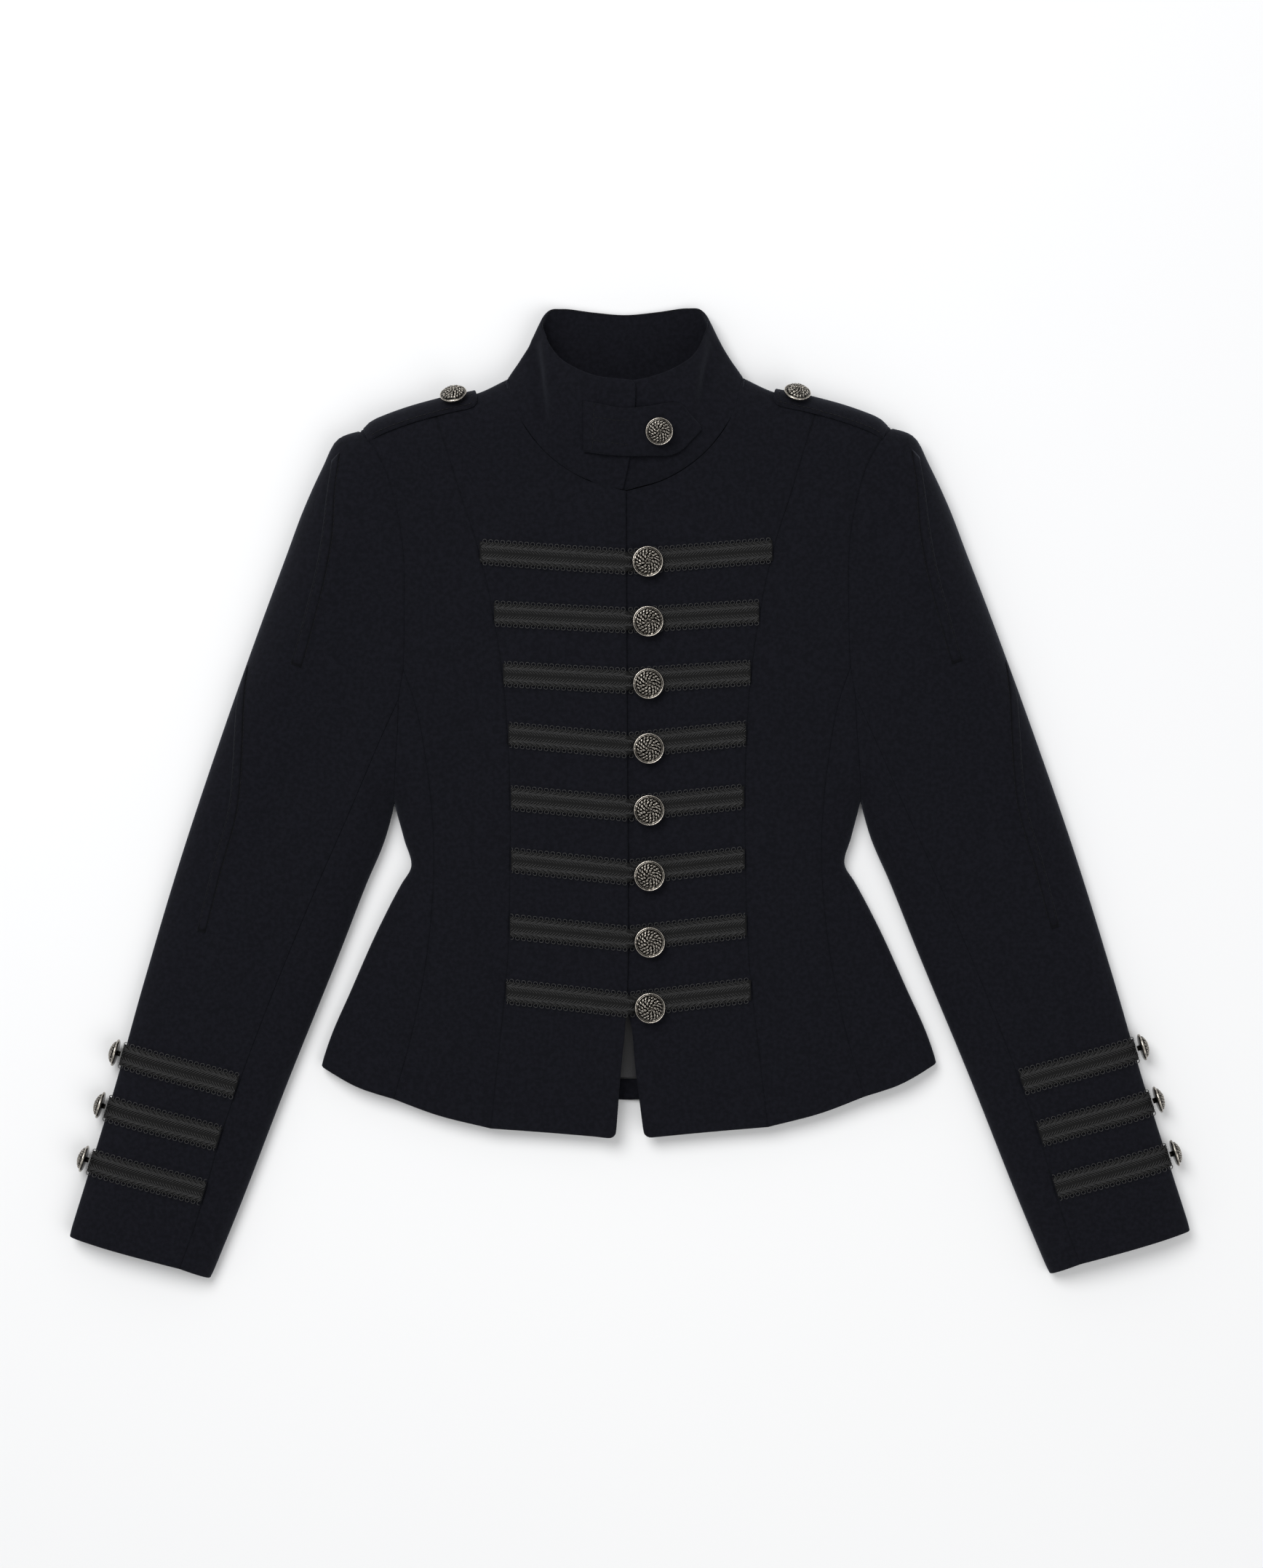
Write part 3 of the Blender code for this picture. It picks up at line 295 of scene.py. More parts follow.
def inward_at(near, across, on_side):
    """The direction into the cloth at points of an edge; across is square to the edge."""
    middle = SLEEVE_MIDDLE + (SLEEVE_MIDDLE_Y - near[:, 1]) * SLEEVE_LEAN
    target = np.stack([middle, near[:, 1]], axis=1)
    shoulder = (near[:, 0] <= SHOULDER[-1][0]) & (near[:, 1] > SHOULDER_FROM_Y)
    target[shoulder] = np.stack([near[:, 0], np.zeros(len(near))], axis=1)[shoulder]
    target[on_side] = np.stack([np.zeros(len(near)), near[:, 1]], axis=1)[on_side]
    facing = np.sign(((target - near) * across).sum(1))
    facing[facing == 0] = 1
    inward = across * facing[:, None]
    inward[np.linalg.norm(near - np.array(SIDE_EDGE[0]), axis=1) < 1.0] = (0.0, 1.0)
    return inward


def nearest_edges(points):
    """For points of one half: distance to the nearest fold edge, way in from it, its height and reach."""
    count = len(points)
    best = np.full(count, np.inf)
    away, near, along = np.zeros((count, 2)), np.zeros((count, 2)), np.zeros((count, 2))
    which = np.zeros(count, int)
    for number, (line, _) in enumerate(EDGES):
        for start, end in zip(line[:-1], line[1:]):
            distance, t, offset = segment_distance(points, start, end)
            closer = distance < best
            best[closer] = distance[closer]
            away[closer] = offset[closer]
            near[closer] = (start + t[:, None] * (end - start))[closer]
            along[closer] = (end - start) / np.linalg.norm(end - start)
            which[closer] = number
    across = np.stack([along[:, 1], -along[:, 0]], axis=1)
    inward = inward_at(near, across, which == 2)
    close = best < ON_EDGE
    signed = np.maximum(0.0, (away * inward).sum(1))
    direction = np.where(close[:, None], inward, away / np.maximum(best, 1e-9)[:, None])
    distance = np.where(close, signed, best)
    height, reach = np.zeros(count), np.zeros(count)
    for number, (_, rim) in enumerate(EDGES):
        here = which == number
        rows = np.array(rim)
        height[here] = np.interp(near[here, 1], rows[:, 0], rows[:, 1])
        reach[here] = np.interp(near[here, 1], rows[:, 0], rows[:, 2])
    return distance, direction, height, reach


def fold_height(points, side, table=None):
    """Height of the soft folds over points of one half."""
    total = np.zeros(len(points))
    for where, x0, y0, x1, y1, width, height in table or FOLDS:
        if where != side:
            continue
        distance, t, _ = segment_distance(points, np.array([x0, y0]), np.array([x1, y1]))
        ends = np.clip(4 * t * (1 - t), 0.0, 1.0) ** 0.6
        total += FOLD_SCALE * height * np.exp(-((distance / width) ** 2)) * ends
    return total


def surface(flat, face, loft, side):
    """Points of the outer surface over plan points, and outward normals; face is 1 on top, -1 below."""
    shape = flat.shape[:-1]
    points = flat.reshape(-1, 2)
    distance, direction, edge, reach = nearest_edges(points)
    faces = np.broadcast_to(face, shape).reshape(-1).astype(float)
    rows = np.array(loft)
    top = np.interp(points[:, 1], rows[:, 0], rows[:, 1])
    run = np.where(faces > 0, TOP_ROUND, reach)
    share = np.maximum(0.0, 1 - distance / run)
    rise = np.sqrt(np.maximum(0.0, 1 - share * share))
    lift = np.where(faces > 0, top - edge, edge)
    z = np.where(faces > 0, edge + lift * rise, edge * (1 - rise))
    slope = lift / run * share
    normal = np.stack([-direction[:, 0] * slope, -direction[:, 1] * slope, faces * rise], axis=1)
    normal /= np.maximum(np.linalg.norm(normal, axis=1), 1e-9)[:, None]
    outer = np.stack([points[:, 0], points[:, 1], z], axis=1)
    soft = fold_height(points, side) * np.clip(distance / 20.0, 0.0, 1.0) * (faces > 0)
    outer[:, 2] += soft
    mirror = np.array([float(side), 1.0, 1.0])
    return (outer * mirror).reshape(shape + (3,)), (normal * mirror).reshape(shape + (3,))


def filled(left, right, top, bottom, across, down):
    """A grid of plan points between four borders, whose corners are those of left and right."""
    top[0], top[-1], bottom[0], bottom[-1] = left[0], right[0], left[-1], right[-1]
    u = np.array(across)[None, :, None]
    v = np.array(down)[:, None, None]
    edges = (1 - u) * left[:, None] + u * right[:, None] + (1 - v) * top[None] + v * bottom[None]
    corners = (1 - u) * (1 - v) * top[0] + u * (1 - v) * top[-1]
    return edges - corners - (1 - u) * v * bottom[0] - u * v * bottom[-1]


def thinned(marks, gap):
    """Marks in order, without those that come too soon after the last one kept."""
    kept = []
    for mark in sorted(marks):
        if not kept or mark - kept[-1] > gap:
            kept.append(mark)
    return kept


def fine_shares(long, at_start=True, at_end=True, step=STEP):
    """Even shares of a length, with closer ones next to the borders that are rounded."""
    close = [0.0, 0.35, 0.9, 1.8, 3.0]
    count = max(4, int(round(long / step)))
    marks = [0.0] + list(np.linspace(0, long, count + 1)[1:-1]) + [long]
    if at_start:
        marks += close
    if at_end:
        marks += [long - mark for mark in close]
    kept = thinned(marks, 0.3)
    kept[-1] = long
    return [mark / long for mark in kept]


def turned_shares(long, run):
    """Shares towards a fold edge at the end, closer together as the cloth turns over it."""
    turn = [run * (1 - math.cos(math.radians(a))) for a in range(0, 91, 7)]
    body = [mark for mark in np.array(fine_shares(long, True, False)) * long if mark < long - run]
    kept = thinned(body + [long - d for d in turn if d < long], 0.12)
    if kept[-1] < long:
        kept.append(long)
    return [mark / long for mark in kept]


def shifted(line, x=0.0, y=0.0):
    return line + np.array([x, y])


def from_neck(line, distance):
    away = line - np.array(NECK_MIDDLE)
    return line + away / np.linalg.norm(away, axis=1)[:, None] * distance


def on_shoulder(x):
    """Points of the shoulder edge at the given x."""
    line = smooth_line(SHOULDER, 80)
    return np.stack([x, np.interp(x, line[:, 0], line[:, 1])], axis=1)


def shoulder_points(start, end, shares):
    """Points of the shoulder edge between two places on it."""
    return on_shoulder(start[0] + (end[0] - start[0]) * np.array(shares))


def x_at(table, y):
    """Where a line that runs down the jacket has the given y."""
    line = smooth_line(table, 60)[::-1]
    return np.interp(y, line[:, 1], line[:, 0])


def joined(lines):
    return np.concatenate([lines[0]] + [line[1:] for line in lines[1:]])


def resampled(line, shares):
    """A polyline taken again at given shares of its length."""
    knots = knots_of(line)
    return np.stack([np.interp(shares, knots / knots[-1], values) for values in line.T], axis=1)


def rounded_shell(outer, normals, wall):
    """Outer and inner grids of a wall whose four borders are rounded over."""
    def border_distance(axis, end):
        steps = np.linalg.norm(np.diff(outer, axis=axis), axis=2)
        pad = [(0, 0), (0, 0)]
        if end:
            steps = np.flip(np.cumsum(np.flip(steps, axis), axis=axis), axis)
            pad[axis] = (0, 1)
        else:
            steps = np.cumsum(steps, axis=axis)
            pad[axis] = (1, 0)
        return np.pad(steps, pad)

    near = np.minimum.reduce([border_distance(a, e) for a in (0, 1) for e in (False, True)])
    share = np.clip(near / EDGE_ROUND, 0, 1)
    drop = (EDGE_ROUND * (1 - np.sqrt(np.clip(1 - (1 - share) ** 2, 0, 1))))[:, :, None]
    press = (PRESS_DEPTH * np.exp(-((near / PRESS_WIDTH) ** 2)))[:, :, None]
    inner = outer - normals * (wall - drop * 0.9)
    return outer - normals * (drop + press), inner


def shell_mesh(name, outer, inner):
    """A closed smooth mesh between two grids of points in millimetres."""
    rows, columns = outer.shape[:2]
    points = np.concatenate([outer.reshape(-1, 3), inner.reshape(-1, 3)]) * MM
    index = np.arange(rows * columns).reshape(rows, columns)
    quads = np.stack([index[:-1, :-1], index[:-1, 1:], index[1:, 1:], index[1:, :-1]], axis=-1)
    quads = quads.reshape(-1, 4)
    back = rows * columns
    rim = np.concatenate([index[0], index[1:, -1], index[-1, -2::-1], index[-2:0:-1, 0]])
    after = np.roll(rim, -1)
    sides = np.stack([after, rim, back + rim, back + after], axis=-1)
    faces = np.concatenate([quads, back + quads[:, ::-1], sides])
    a, b, c, d = (points[faces[:, k]] for k in range(4))
    if (a * np.cross(b - a, c - a)).sum() + (a * np.cross(c - a, d - a)).sum() < 0:
        faces = faces[:, ::-1]
    return new_object(name, points, faces.tolist())


def new_object(name, points, faces):
    mesh = bpy.data.meshes.new(name)
    mesh.from_pydata(points.tolist() if hasattr(points, "tolist") else points, [], faces)
    mesh.shade_smooth()
    thing = bpy.data.objects.new(name, mesh)
    bpy.context.scene.collection.objects.link(thing)
    return thing


def area_of(outer):
    a, b, c, d = outer[:-1, :-1], outer[:-1, 1:], outer[1:, 1:], outer[1:, :-1]
    total = np.linalg.norm(np.cross(b - a, c - a), axis=2).sum()
    total += np.linalg.norm(np.cross(c - a, d - a), axis=2).sum()
    return total / 2 * MM * MM


def side_name(name, side):
    return f"{name}_{'left' if side < 0 else 'right'}"


def dress(piece, material, node=None):
    """A piece's finish, its body, and the node that it stands for."""
    piece.data.materials.append(material)
    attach(piece, "root")
    if node:
        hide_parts(node)


def cloth(node, outer, normals, material, wall=WALL):
    """A cloth shell in place of a node: rounded edges and its finish; its area is worked out but not kept.
    """
    piece = shell_mesh("cloth_" + node, *rounded_shell(outer, normals, wall))
    dress(piece, material, node)
    long = np.linalg.norm(np.diff(outer, axis=0), axis=2).sum(0).max() * MM
    wide = np.linalg.norm(np.diff(outer, axis=1), axis=2).sum(1).max() * MM
    round(float(min(area_of(outer), wide * long)), 5)


# Closer rows where the cloth turns down to the shoulder edge, on the body and on the sleeves.
SHOULDER_MARKS = [0, 0.5, 1.2, 2.2, 3.6, 5.5, 8, 11, 14.5, 18.5]
CROWN_MARKS = [0, 1.5, 3.5, 6, 9, 13, 17, 22]


def close_first(long, close, beyond):
    """Shares down a panel that starts with close rows, and has even ones beyond them."""
    marks = sorted(set(close) | {share * long for share in fine_shares(long) if share * long > beyond})
    marks[-1] = long
    return [mark / long for mark in marks]


FRONT_DOWN = close_first(length(ARMHOLE_FRONT) + length(SIDE_SEAM), SHOULDER_MARKS, 20)
BACK_DOWN = close_first(length(ARMHOLE_BACK) + length(BACK_SIDE_SEAM), SHOULDER_MARKS, 20)
SLEEVE_DOWN = close_first(length(OUTER_EDGE), CROWN_MARKS, 24)
BACK_ARMHOLE_SHARE = BACK_SEAM_START / length(ARMHOLE_BACK)
# The neckline as built, for the collar to stand on, and the plain collar front, for the tab.
necks = {}


def front_lap(x):
    """How far the upper front edge and collar end are raised over the under ones."""
    return LAP * smooth_step((LAP_FROM + x) / LAP_RUN)


def round_corner(flat, radius):
    """A sheet's last row and first column meet in a rounded corner."""
    corner = flat[-1, 0].copy()
    along = (flat[-1, 4] - corner) / np.linalg.norm(flat[-1, 4] - corner)
    up = np.array([-along[1], along[0]])
    u, v = (flat - corner) @ along, (flat - corner) @ up
    a, b = radius - u, radius - v
    inside = (a > 0) & (b > 0)
    shrink = np.where(inside, np.maximum(a, b) / np.maximum(np.hypot(a, b), 1e-9), 1.0)
    a, b = a * shrink, b * shrink
    moved = corner + (radius - a)[..., None] * along + (radius - b)[..., None] * up
    flat[inside] = moved[inside]


def neck_and_shoulder(neck_long, shoulder_long, close_start):
    """Shares over the neckline, over the shoulder, and over both as one border."""
    split = neck_long / (neck_long + shoulder_long)
    neck = fine_shares(neck_long, close_start, False)
    shoulder = fine_shares(shoulder_long, False, True)
    return neck, shoulder, [s * split for s in neck] + [split + (1 - split) * s for s in shoulder[1:]]


def front_center(side, wool):
    upper = side < 0
    edge = UPPER_EDGE if upper else UNDER_EDGE
    neck_shares, shoulder_shares, across = neck_and_shoulder(133.0, 62.0, True)
    neck = from_neck(smooth_line(FRONT_NECK, stations=neck_shares), SEAM)
    top = joined([neck, shoulder_points(FRONT_NECK[-1], FRONT_SEAM[0], shoulder_shares)])
    top[0, 0] = edge[0][0]
    left = smooth_line(edge, stations=FRONT_DOWN)
    left[:, 1] = np.interp(left[:, 1], [edge[-1][1], edge[0][1]], [edge[-1][1], top[0, 1]])
    right = shifted(smooth_line(FRONT_SEAM, stations=FRONT_DOWN), x=-SEAM)
    bottom = smooth_line(FRONT_HEM, stations=across)
    bottom = bottom + (left[-1] - bottom[0]) * (1 - np.array(across))[:, None]
    flat = filled(left, right, top, bottom, across, FRONT_DOWN)
    round_corner(flat, HEM_CORNER)
    outer, normals = surface(flat, 1, BODY_LOFT, side)
    if upper:
        outer[:, :, 2] += front_lap(outer[:, :, 0])
    necks["left" if upper else "right"] = outer[0, :len(neck_shares)]
    cloth(side_name("front_center", side), outer, normals, wool)


def front_side(side, wool):
    across = fine_shares(58.0)
    left = shifted(smooth_line(FRONT_SEAM, stations=FRONT_DOWN), x=SEAM)
    line = joined([smooth_line(ARMHOLE_FRONT, 200), smooth_line(SIDE_SEAM, 300)])
    right = shifted(resampled(line, FRONT_DOWN), x=-SEAM)
    top = shoulder_points(FRONT_SEAM[0], SHOULDER[-1], across)
    bottom = smooth_line(FRONT_SIDE_HEM, stations=across)
    outer, normals = surface(filled(left, right, top, bottom, across, FRONT_DOWN), 1, BODY_LOFT, side)
    cloth(side_name("front_side", side), outer, normals, wool)


def both_faces(above, below, loft, side):
    """The grid over an edge and the grid under it, joined at the edge's column."""
    faces = zip(surface(above, 1, loft, side), surface(below, -1, loft, side))
    return [np.concatenate([over, under[:, 1:]], axis=1) for over, under in faces]


def ahead(shares):
    """Shares that run ahead of the given ones, so that a grid's rows fan out from a corner."""
    start, power = 0.03, 0.4
    return ((np.array(shares) + start) ** power - start**power) / ((1 + start) ** power - start**power)


def away_from_edge(long, run):
    """Shares from a fold edge on, closer together as the cloth turns over it."""
    return [1 - share for share in turned_shares(long, run)][::-1]


def side_panel(side, wool):
    down = fine_shares(length(SIDE_SEAM), step=3.0)
    seam = shifted(smooth_line(SIDE_SEAM, stations=ahead(down)), x=SEAM)
    edge = smooth_line(SIDE_EDGE, stations=down)
    back = shifted(smooth_line(BACK_SIDE_SEAM, stations=ahead(down)), x=SEAM)
    across = turned_shares(42.0, 30.0)
    top = shifted(smooth_line(ARMHOLE_LOW, stations=across), x=-SEAM)
    edge[0] = top[-1]
    above = filled(seam, edge, top, smooth_line(SIDE_HEM, stations=across), across, down)
    under = away_from_edge(38.0, 10.0)
    top = shifted(smooth_line(BACK_LOW, stations=under), x=-SEAM)
    below = filled(edge, back, top, smooth_line(UNDER_SIDE_HEM, stations=under), under, down)
    outer, normals = both_faces(above, below, BODY_LOFT, side)
    cloth(side_name("side_panel", side), outer, normals, wool)


def back_side(side, wool):
    across = fine_shares(90.0)
    left = shifted(smooth_line(BACK_SEAM, stations=BACK_DOWN), x=SEAM)
    line = joined([smooth_line(ARMHOLE_BACK, 200), smooth_line(BACK_SIDE_SEAM, 300)])
    right = shifted(resampled(line, BACK_DOWN), x=-SEAM)
    top = shoulder_points(BACK_SEAM[0], SHOULDER[-1], across)
    bottom = smooth_line(BACK_SIDE_HEM, stations=across)
    outer, normals = surface(filled(left, right, top, bottom, across, BACK_DOWN), -1, BODY_LOFT, side)
    outer[0, :, 2] -= 2 * SEAM
    cloth(side_name("back_side", side), outer, normals, wool)


def back_center(wool):
    """The back panel, cut on the fold: one half and its mirror image."""
    neck_shares, shoulder_shares, across = neck_and_shoulder(89.0, 33.0, False)
    neck = shifted(smooth_line(BACK_NECK[::-1], stations=neck_shares), y=-SEAM)
    top = joined([neck, shoulder_points(BACK_NECK[0], BACK_SEAM[0], shoulder_shares)])
    right = shifted(smooth_line(BACK_SEAM, stations=BACK_DOWN), x=-SEAM)
    fold_y = np.interp(BACK_DOWN, [0, 1], [top[0, 1], BACK_HEM[0][1]])
    left = np.stack([np.zeros(len(fold_y)), fold_y], axis=1)
    bottom = smooth_line(BACK_HEM, stations=across)
    outer, normals = surface(filled(left, right, top, bottom, across, BACK_DOWN), -1, BODY_LOFT, 1)
    outer[0, :, 2] = np.maximum(outer[0, :, 2] - 2 * SEAM, 0.0)
    halves = (outer, normals)
    outer, normals = (np.concatenate([(half * (-1, 1, 1))[:, :0:-1], half], axis=1) for half in halves)
    inside = len(shoulder_shares) - 1
    necks["back"] = outer[0, inside:-inside]
    cloth("back_center", outer, normals, wool)


def back_sleeve_seam(edge):
    """The sleeve's back seam: on the under face, a fixed distance in from the outer edge."""
    line = edge + nearest_edges(edge)[1] * BACK_SLEEVE_SEAM
    line[0] = resampled(smooth_line(ARMHOLE_BACK, 200), [BACK_ARMHOLE_SHARE])[0]
    cuff = np.array(CUFF[-2]) - np.array(CUFF[-1])
    line[-1] = np.array(CUFF[-1]) + cuff / np.linalg.norm(cuff) * BACK_SLEEVE_SEAM
    return line


def top_sleeve(side, wool):
    inseam = shifted(smooth_line(INSEAM, stations=SLEEVE_DOWN), x=SEAM)
    edge = smooth_line(OUTER_EDGE, stations=SLEEVE_DOWN)
    across = turned_shares(108.0, 30.0)
    arm = joined([smooth_line(ARMHOLE_LOW[1::-1], 8), smooth_line(ARMHOLE_FRONT, 200)[::-1]])
    top = shifted(resampled(arm, across), x=SEAM)
    edge[0] = top[-1]
    above = filled(inseam, edge, top, smooth_line(CUFF[1:], stations=across), across, SLEEVE_DOWN)
    back = shifted(back_sleeve_seam(edge), x=SEAM)
    under = away_from_edge(BACK_SLEEVE_SEAM, 12.0)
    arm = smooth_line(ARMHOLE_BACK, 200)
    top = shifted(resampled(arm, np.array(under) * BACK_ARMHOLE_SHARE), x=SEAM)
    bottom = resampled(np.array([edge[-1], back[-1]]), under)
    below = filled(edge, back, top, bottom, under, SLEEVE_DOWN)
    outer, normals = both_faces(above, below, SLEEVE_LOFT, side)
    cloth(side_name("top_sleeve", side), outer, normals, wool)


def under_sleeve(side, wool):
    inseam = shifted(smooth_line(INSEAM, stations=SLEEVE_DOWN), x=-SEAM)
    edge = smooth_line(INNER_EDGE, stations=SLEEVE_DOWN)
    across = turned_shares(34.0, 26.0)
    top = shifted(smooth_line(ARMHOLE_LOW[1:], stations=across), x=SEAM)
    inseam[0], edge[0] = top[0], top[-1]
    above = filled(inseam, edge, top, smooth_line(CUFF[1::-1], stations=across), across, SLEEVE_DOWN)
    under = away_from_edge(96.0, 10.0)
    back = shifted(back_sleeve_seam(smooth_line(OUTER_EDGE, stations=SLEEVE_DOWN)), x=-SEAM)
    arm = smooth_line(ARMHOLE_BACK, 200)
    arm = arm[int(len(arm) * BACK_ARMHOLE_SHARE):][::-1]
    top = shifted(resampled(joined([smooth_line(BACK_LOW, 60), arm]), under), x=SEAM)
    top[-1] += (0.0, -3 * SEAM)
    back[0] = top[-1]
    bottom = resampled(np.array([edge[-1], back[-1]]), under)
    below = filled(edge, back, top, bottom, under, SLEEVE_DOWN)
    outer, normals = both_faces(above, below, SLEEVE_LOFT, side)
    cloth(side_name("under_sleeve", side), outer, normals, wool)


def on_neckline(point, lifted):
    """The place on the neckline of the panels that is nearest in plan, just inside it."""
    places = []
    for line in (necks["left" if lifted else "right"], necks["back"]):
        for start, end in zip(line[:-1], line[1:]):
            step = (end - start)[:2]
            t = min(max(float(np.dot(point[:2] - start[:2], step) / np.dot(step, step)), 0.0), 1.0)
            places.append(start + (end - start) * t)
    place = min(places, key=lambda spot: np.linalg.norm(spot[:2] - point[:2]))
    inward = np.array(NECK_MIDDLE) - place[:2]
    if place[1] > NECK_MIDDLE[1] and abs(place[0]) < BACK_NECK_REACH:
        inward = np.array([0.0, 1.0])
    place[:2] += inward / np.linalg.norm(inward) * 2 * SEAM
    return place


def collar_row(row, side, lifted):
    """One collar station: its base on the neckline, its middle and its rim."""
    bx, by, mx, my, mz, rx, ry, rz = row
    points = np.array([(bx * side, by, 0.0), (mx * side, my, mz), (rx * side, ry, rz)])
    points[0] = on_neckline(points[0], lifted)
    if lifted:
        points[1:, 2] += front_lap(points[1:, 0])
    return points


def collar_grid(rows, places, heights, tall=1.0):
    """Points over the collar from its stations, each curved through base, middle and rim."""
    stations = np.array(rows)
    knots = knots_of(stations[:, 1])
    curve = curve_through(stations, knots, np.array(places) * knots[-1])
    w = (np.array(heights)[None, :] * np.reshape(tall, (-1, 1)))[:, :, None]
    base, middle, rim = curve[:, None, 0], curve[:, None, 1], curve[:, None, 2]
    return base * (2 * w - 1) * (w - 1) + middle * 4 * w * (1 - w) + rim * w * (2 * w - 1)


def grid_normals(grid):
    normals = np.cross(np.gradient(grid, axis=0), np.gradient(grid, axis=1))
    return normals / np.linalg.norm(normals, axis=2)[:, :, None]


def collar(wool, thread):
    right = [collar_row(row, 1, False) for row in COLLAR]
    left = [collar_row(row, -1, True) for row in COLLAR[1:-1]][::-1]
    start, end = right[0].copy(), right[0] + (0, 0, LAP)
    start[:, 0], end[:, 0] = COLLAR_START, COLLAR_END
    places = np.array(fine_shares(COLLAR_LONG, step=2.0))
    from_end = np.clip((1 - places) * COLLAR_LONG, 0, COLLAR_CORNER)
    drop = COLLAR_CORNER - np.sqrt(COLLAR_CORNER**2 - (COLLAR_CORNER - from_end) ** 2)
    heights = fine_shares(COLLAR_TALL)
    grid = collar_grid([start] + right + left + [end], places, heights, 1 - drop / COLLAR_TALL)
    half = len(grid) // 2
    for k, column in enumerate(grid):
        base = on_neckline(column[0], k > half)
        fade = np.linspace(1, 0, 5)[:, None]
        column[:5] += (base - column[0]) * fade
    grid[:, :, 2] = np.maximum(grid[:, :, 2], 0.0)
    normals = grid_normals(grid)
    outward = np.sign((normals[:, :, 1] * (grid[:, :, 1] - 315) + normals[:, :, 0] * grid[:, :, 0]).sum())
    for k, side in ((slice(0, half), 1), (slice(half, None), -1)):
        part = grid[k]
        plan = (part[:, :, :2] * (side, 1.0)).reshape(-1, 2)
        soft = fold_height(plan, side, COLLAR_FOLDS).reshape(part.shape[:2])
        soft *= smooth_step((part[:, :, 2] - 8) / 10) * smooth_step(np.linspace(0, 6, part.shape[1]))
        part += normals[k] * outward * soft[:, :, None]
    normals = grid_normals(grid)
    cloth("collar", grid, normals * outward, wool)
    inside = grid - normals * outward * (WALL + 0.05)
    row = int(FACING_LINE * grid.shape[1])
    stitches("thread_collar", [inside[grid[:, row, 1] > BACK_COLLAR_FROM, row]], thread)


def collar_front():
    """Many points over the plain collar front, to read its height from."""
    rows = [collar_row(row, 1, False) for row in COLLAR[:6]]
    start = rows[1] * (-1, 1, 1)
    return collar_grid([start] + rows, np.linspace(0, 1, 140), np.linspace(0, 1, 60)).reshape(-1, 3)


def collar_height(flat):
    """Height of the plain collar front over plan points."""
    points = necks["front"]
    out = np.zeros(len(flat))
    for k, (x, y) in enumerate(flat):
        away = ((points[:, :2] - (abs(x), y)) ** 2).sum(1)
        weights = np.exp(-away / 6.0)
        out[k] = (points[:, 2] * weights).sum() / weights.sum()
    return out


def tab_lift(x):
    return np.where(x < 10, front_lap(x), LAP * (1 - smooth_step((x - 10) / 24)))


def tab_place(flat, above):
    """Points over the collar tab, which lies on the collar's left end and its right front."""
    z = collar_height(flat) + tab_lift(flat[:, 0]) + REST + STRAP_WALL + above
    return np.column_stack([flat, z])


def collar_tab(wool, thread):
    necks["front"] = collar_front()
    along, across = fine_shares(90.0, step=3.0), fine_shares(36.0, step=3.0)
    x, low, high = smooth_line(TAB, stations=along).T
    y = low[:, None] + (high - low)[:, None] * np.array(across)
    flat = np.stack([np.broadcast_to(x[:, None], y.shape), y], axis=2)
    outer = tab_place(flat.reshape(-1, 2), 0.0).reshape(y.shape + (3,))
    normals = np.broadcast_to((0.0, 0.0, 1.0), outer.shape)
    cloth("collar_tab", outer, normals, wool, wall=STRAP_WALL)
    runs = [tab_place(evenly(line, 1.0), 0.0) for line in TAB_SEWN]
    stitches("thread_collar_tab", runs, thread)


def evenly(table, step):
    """Points at even steps along the straight lines of a table."""
    count = max(2, int(length(table) / step) + 1)
    return resampled(np.array(table, float), np.linspace(0, 1, count))


def stitches(name, runs, material, radius=THREAD_RADIUS):
    """Short raised threads along paths of points in millimetres."""
    paths = []
    for run in runs:
        long = float(knots_of(run)[-1])
        place = STITCH_START
        while place + STITCH < long:
            path = resampled(run, np.linspace(place, place + STITCH, len(STITCH_RISE)) / long)
            path[:, 2] += STITCH_RISE
            paths.append(path)
            place += STITCH + STITCH_GAP
    dress(new_object(name, *tubes(paths, radius)), material)


def tubes(paths, radius, sides=TUBE_SIDES):
    """Thin tubes along paths of points in millimetres, as metres and faces."""
    points, faces = [], []
    start = 0
    for path in paths:
        path = np.asarray(path, float)
        along = np.gradient(path, axis=0)
        along /= np.maximum(np.linalg.norm(along, axis=1), 1e-9)[:, None]
        guide = np.where(np.abs(along[:, 2:3]) > 0.9, (1.0, 0.0, 0.0), (0.0, 0.0, 1.0))
        across = np.cross(along, guide)
        across /= np.linalg.norm(across, axis=1)[:, None]
        other = np.cross(along, across)
        turn = np.arange(sides) * 2 * math.pi / sides
        ring = across[:, None] * np.cos(turn)[None, :, None] + other[:, None] * np.sin(turn)[None, :, None]
        points.append((path[:, None] + ring * radius).reshape(-1, 3))
        count = len(path)
        index = start + np.arange(count * sides).reshape(count, sides)
        after = np.roll(index, -1, axis=1)
        quads = np.stack([index[:-1], index[1:], after[1:], after[:-1]], axis=-1).reshape(-1, 4)
        faces += quads.tolist()
        faces.append(index[0].tolist())
        faces.append(index[-1, ::-1].tolist())
        start += count * sides
    return np.concatenate(points) * MM, faces


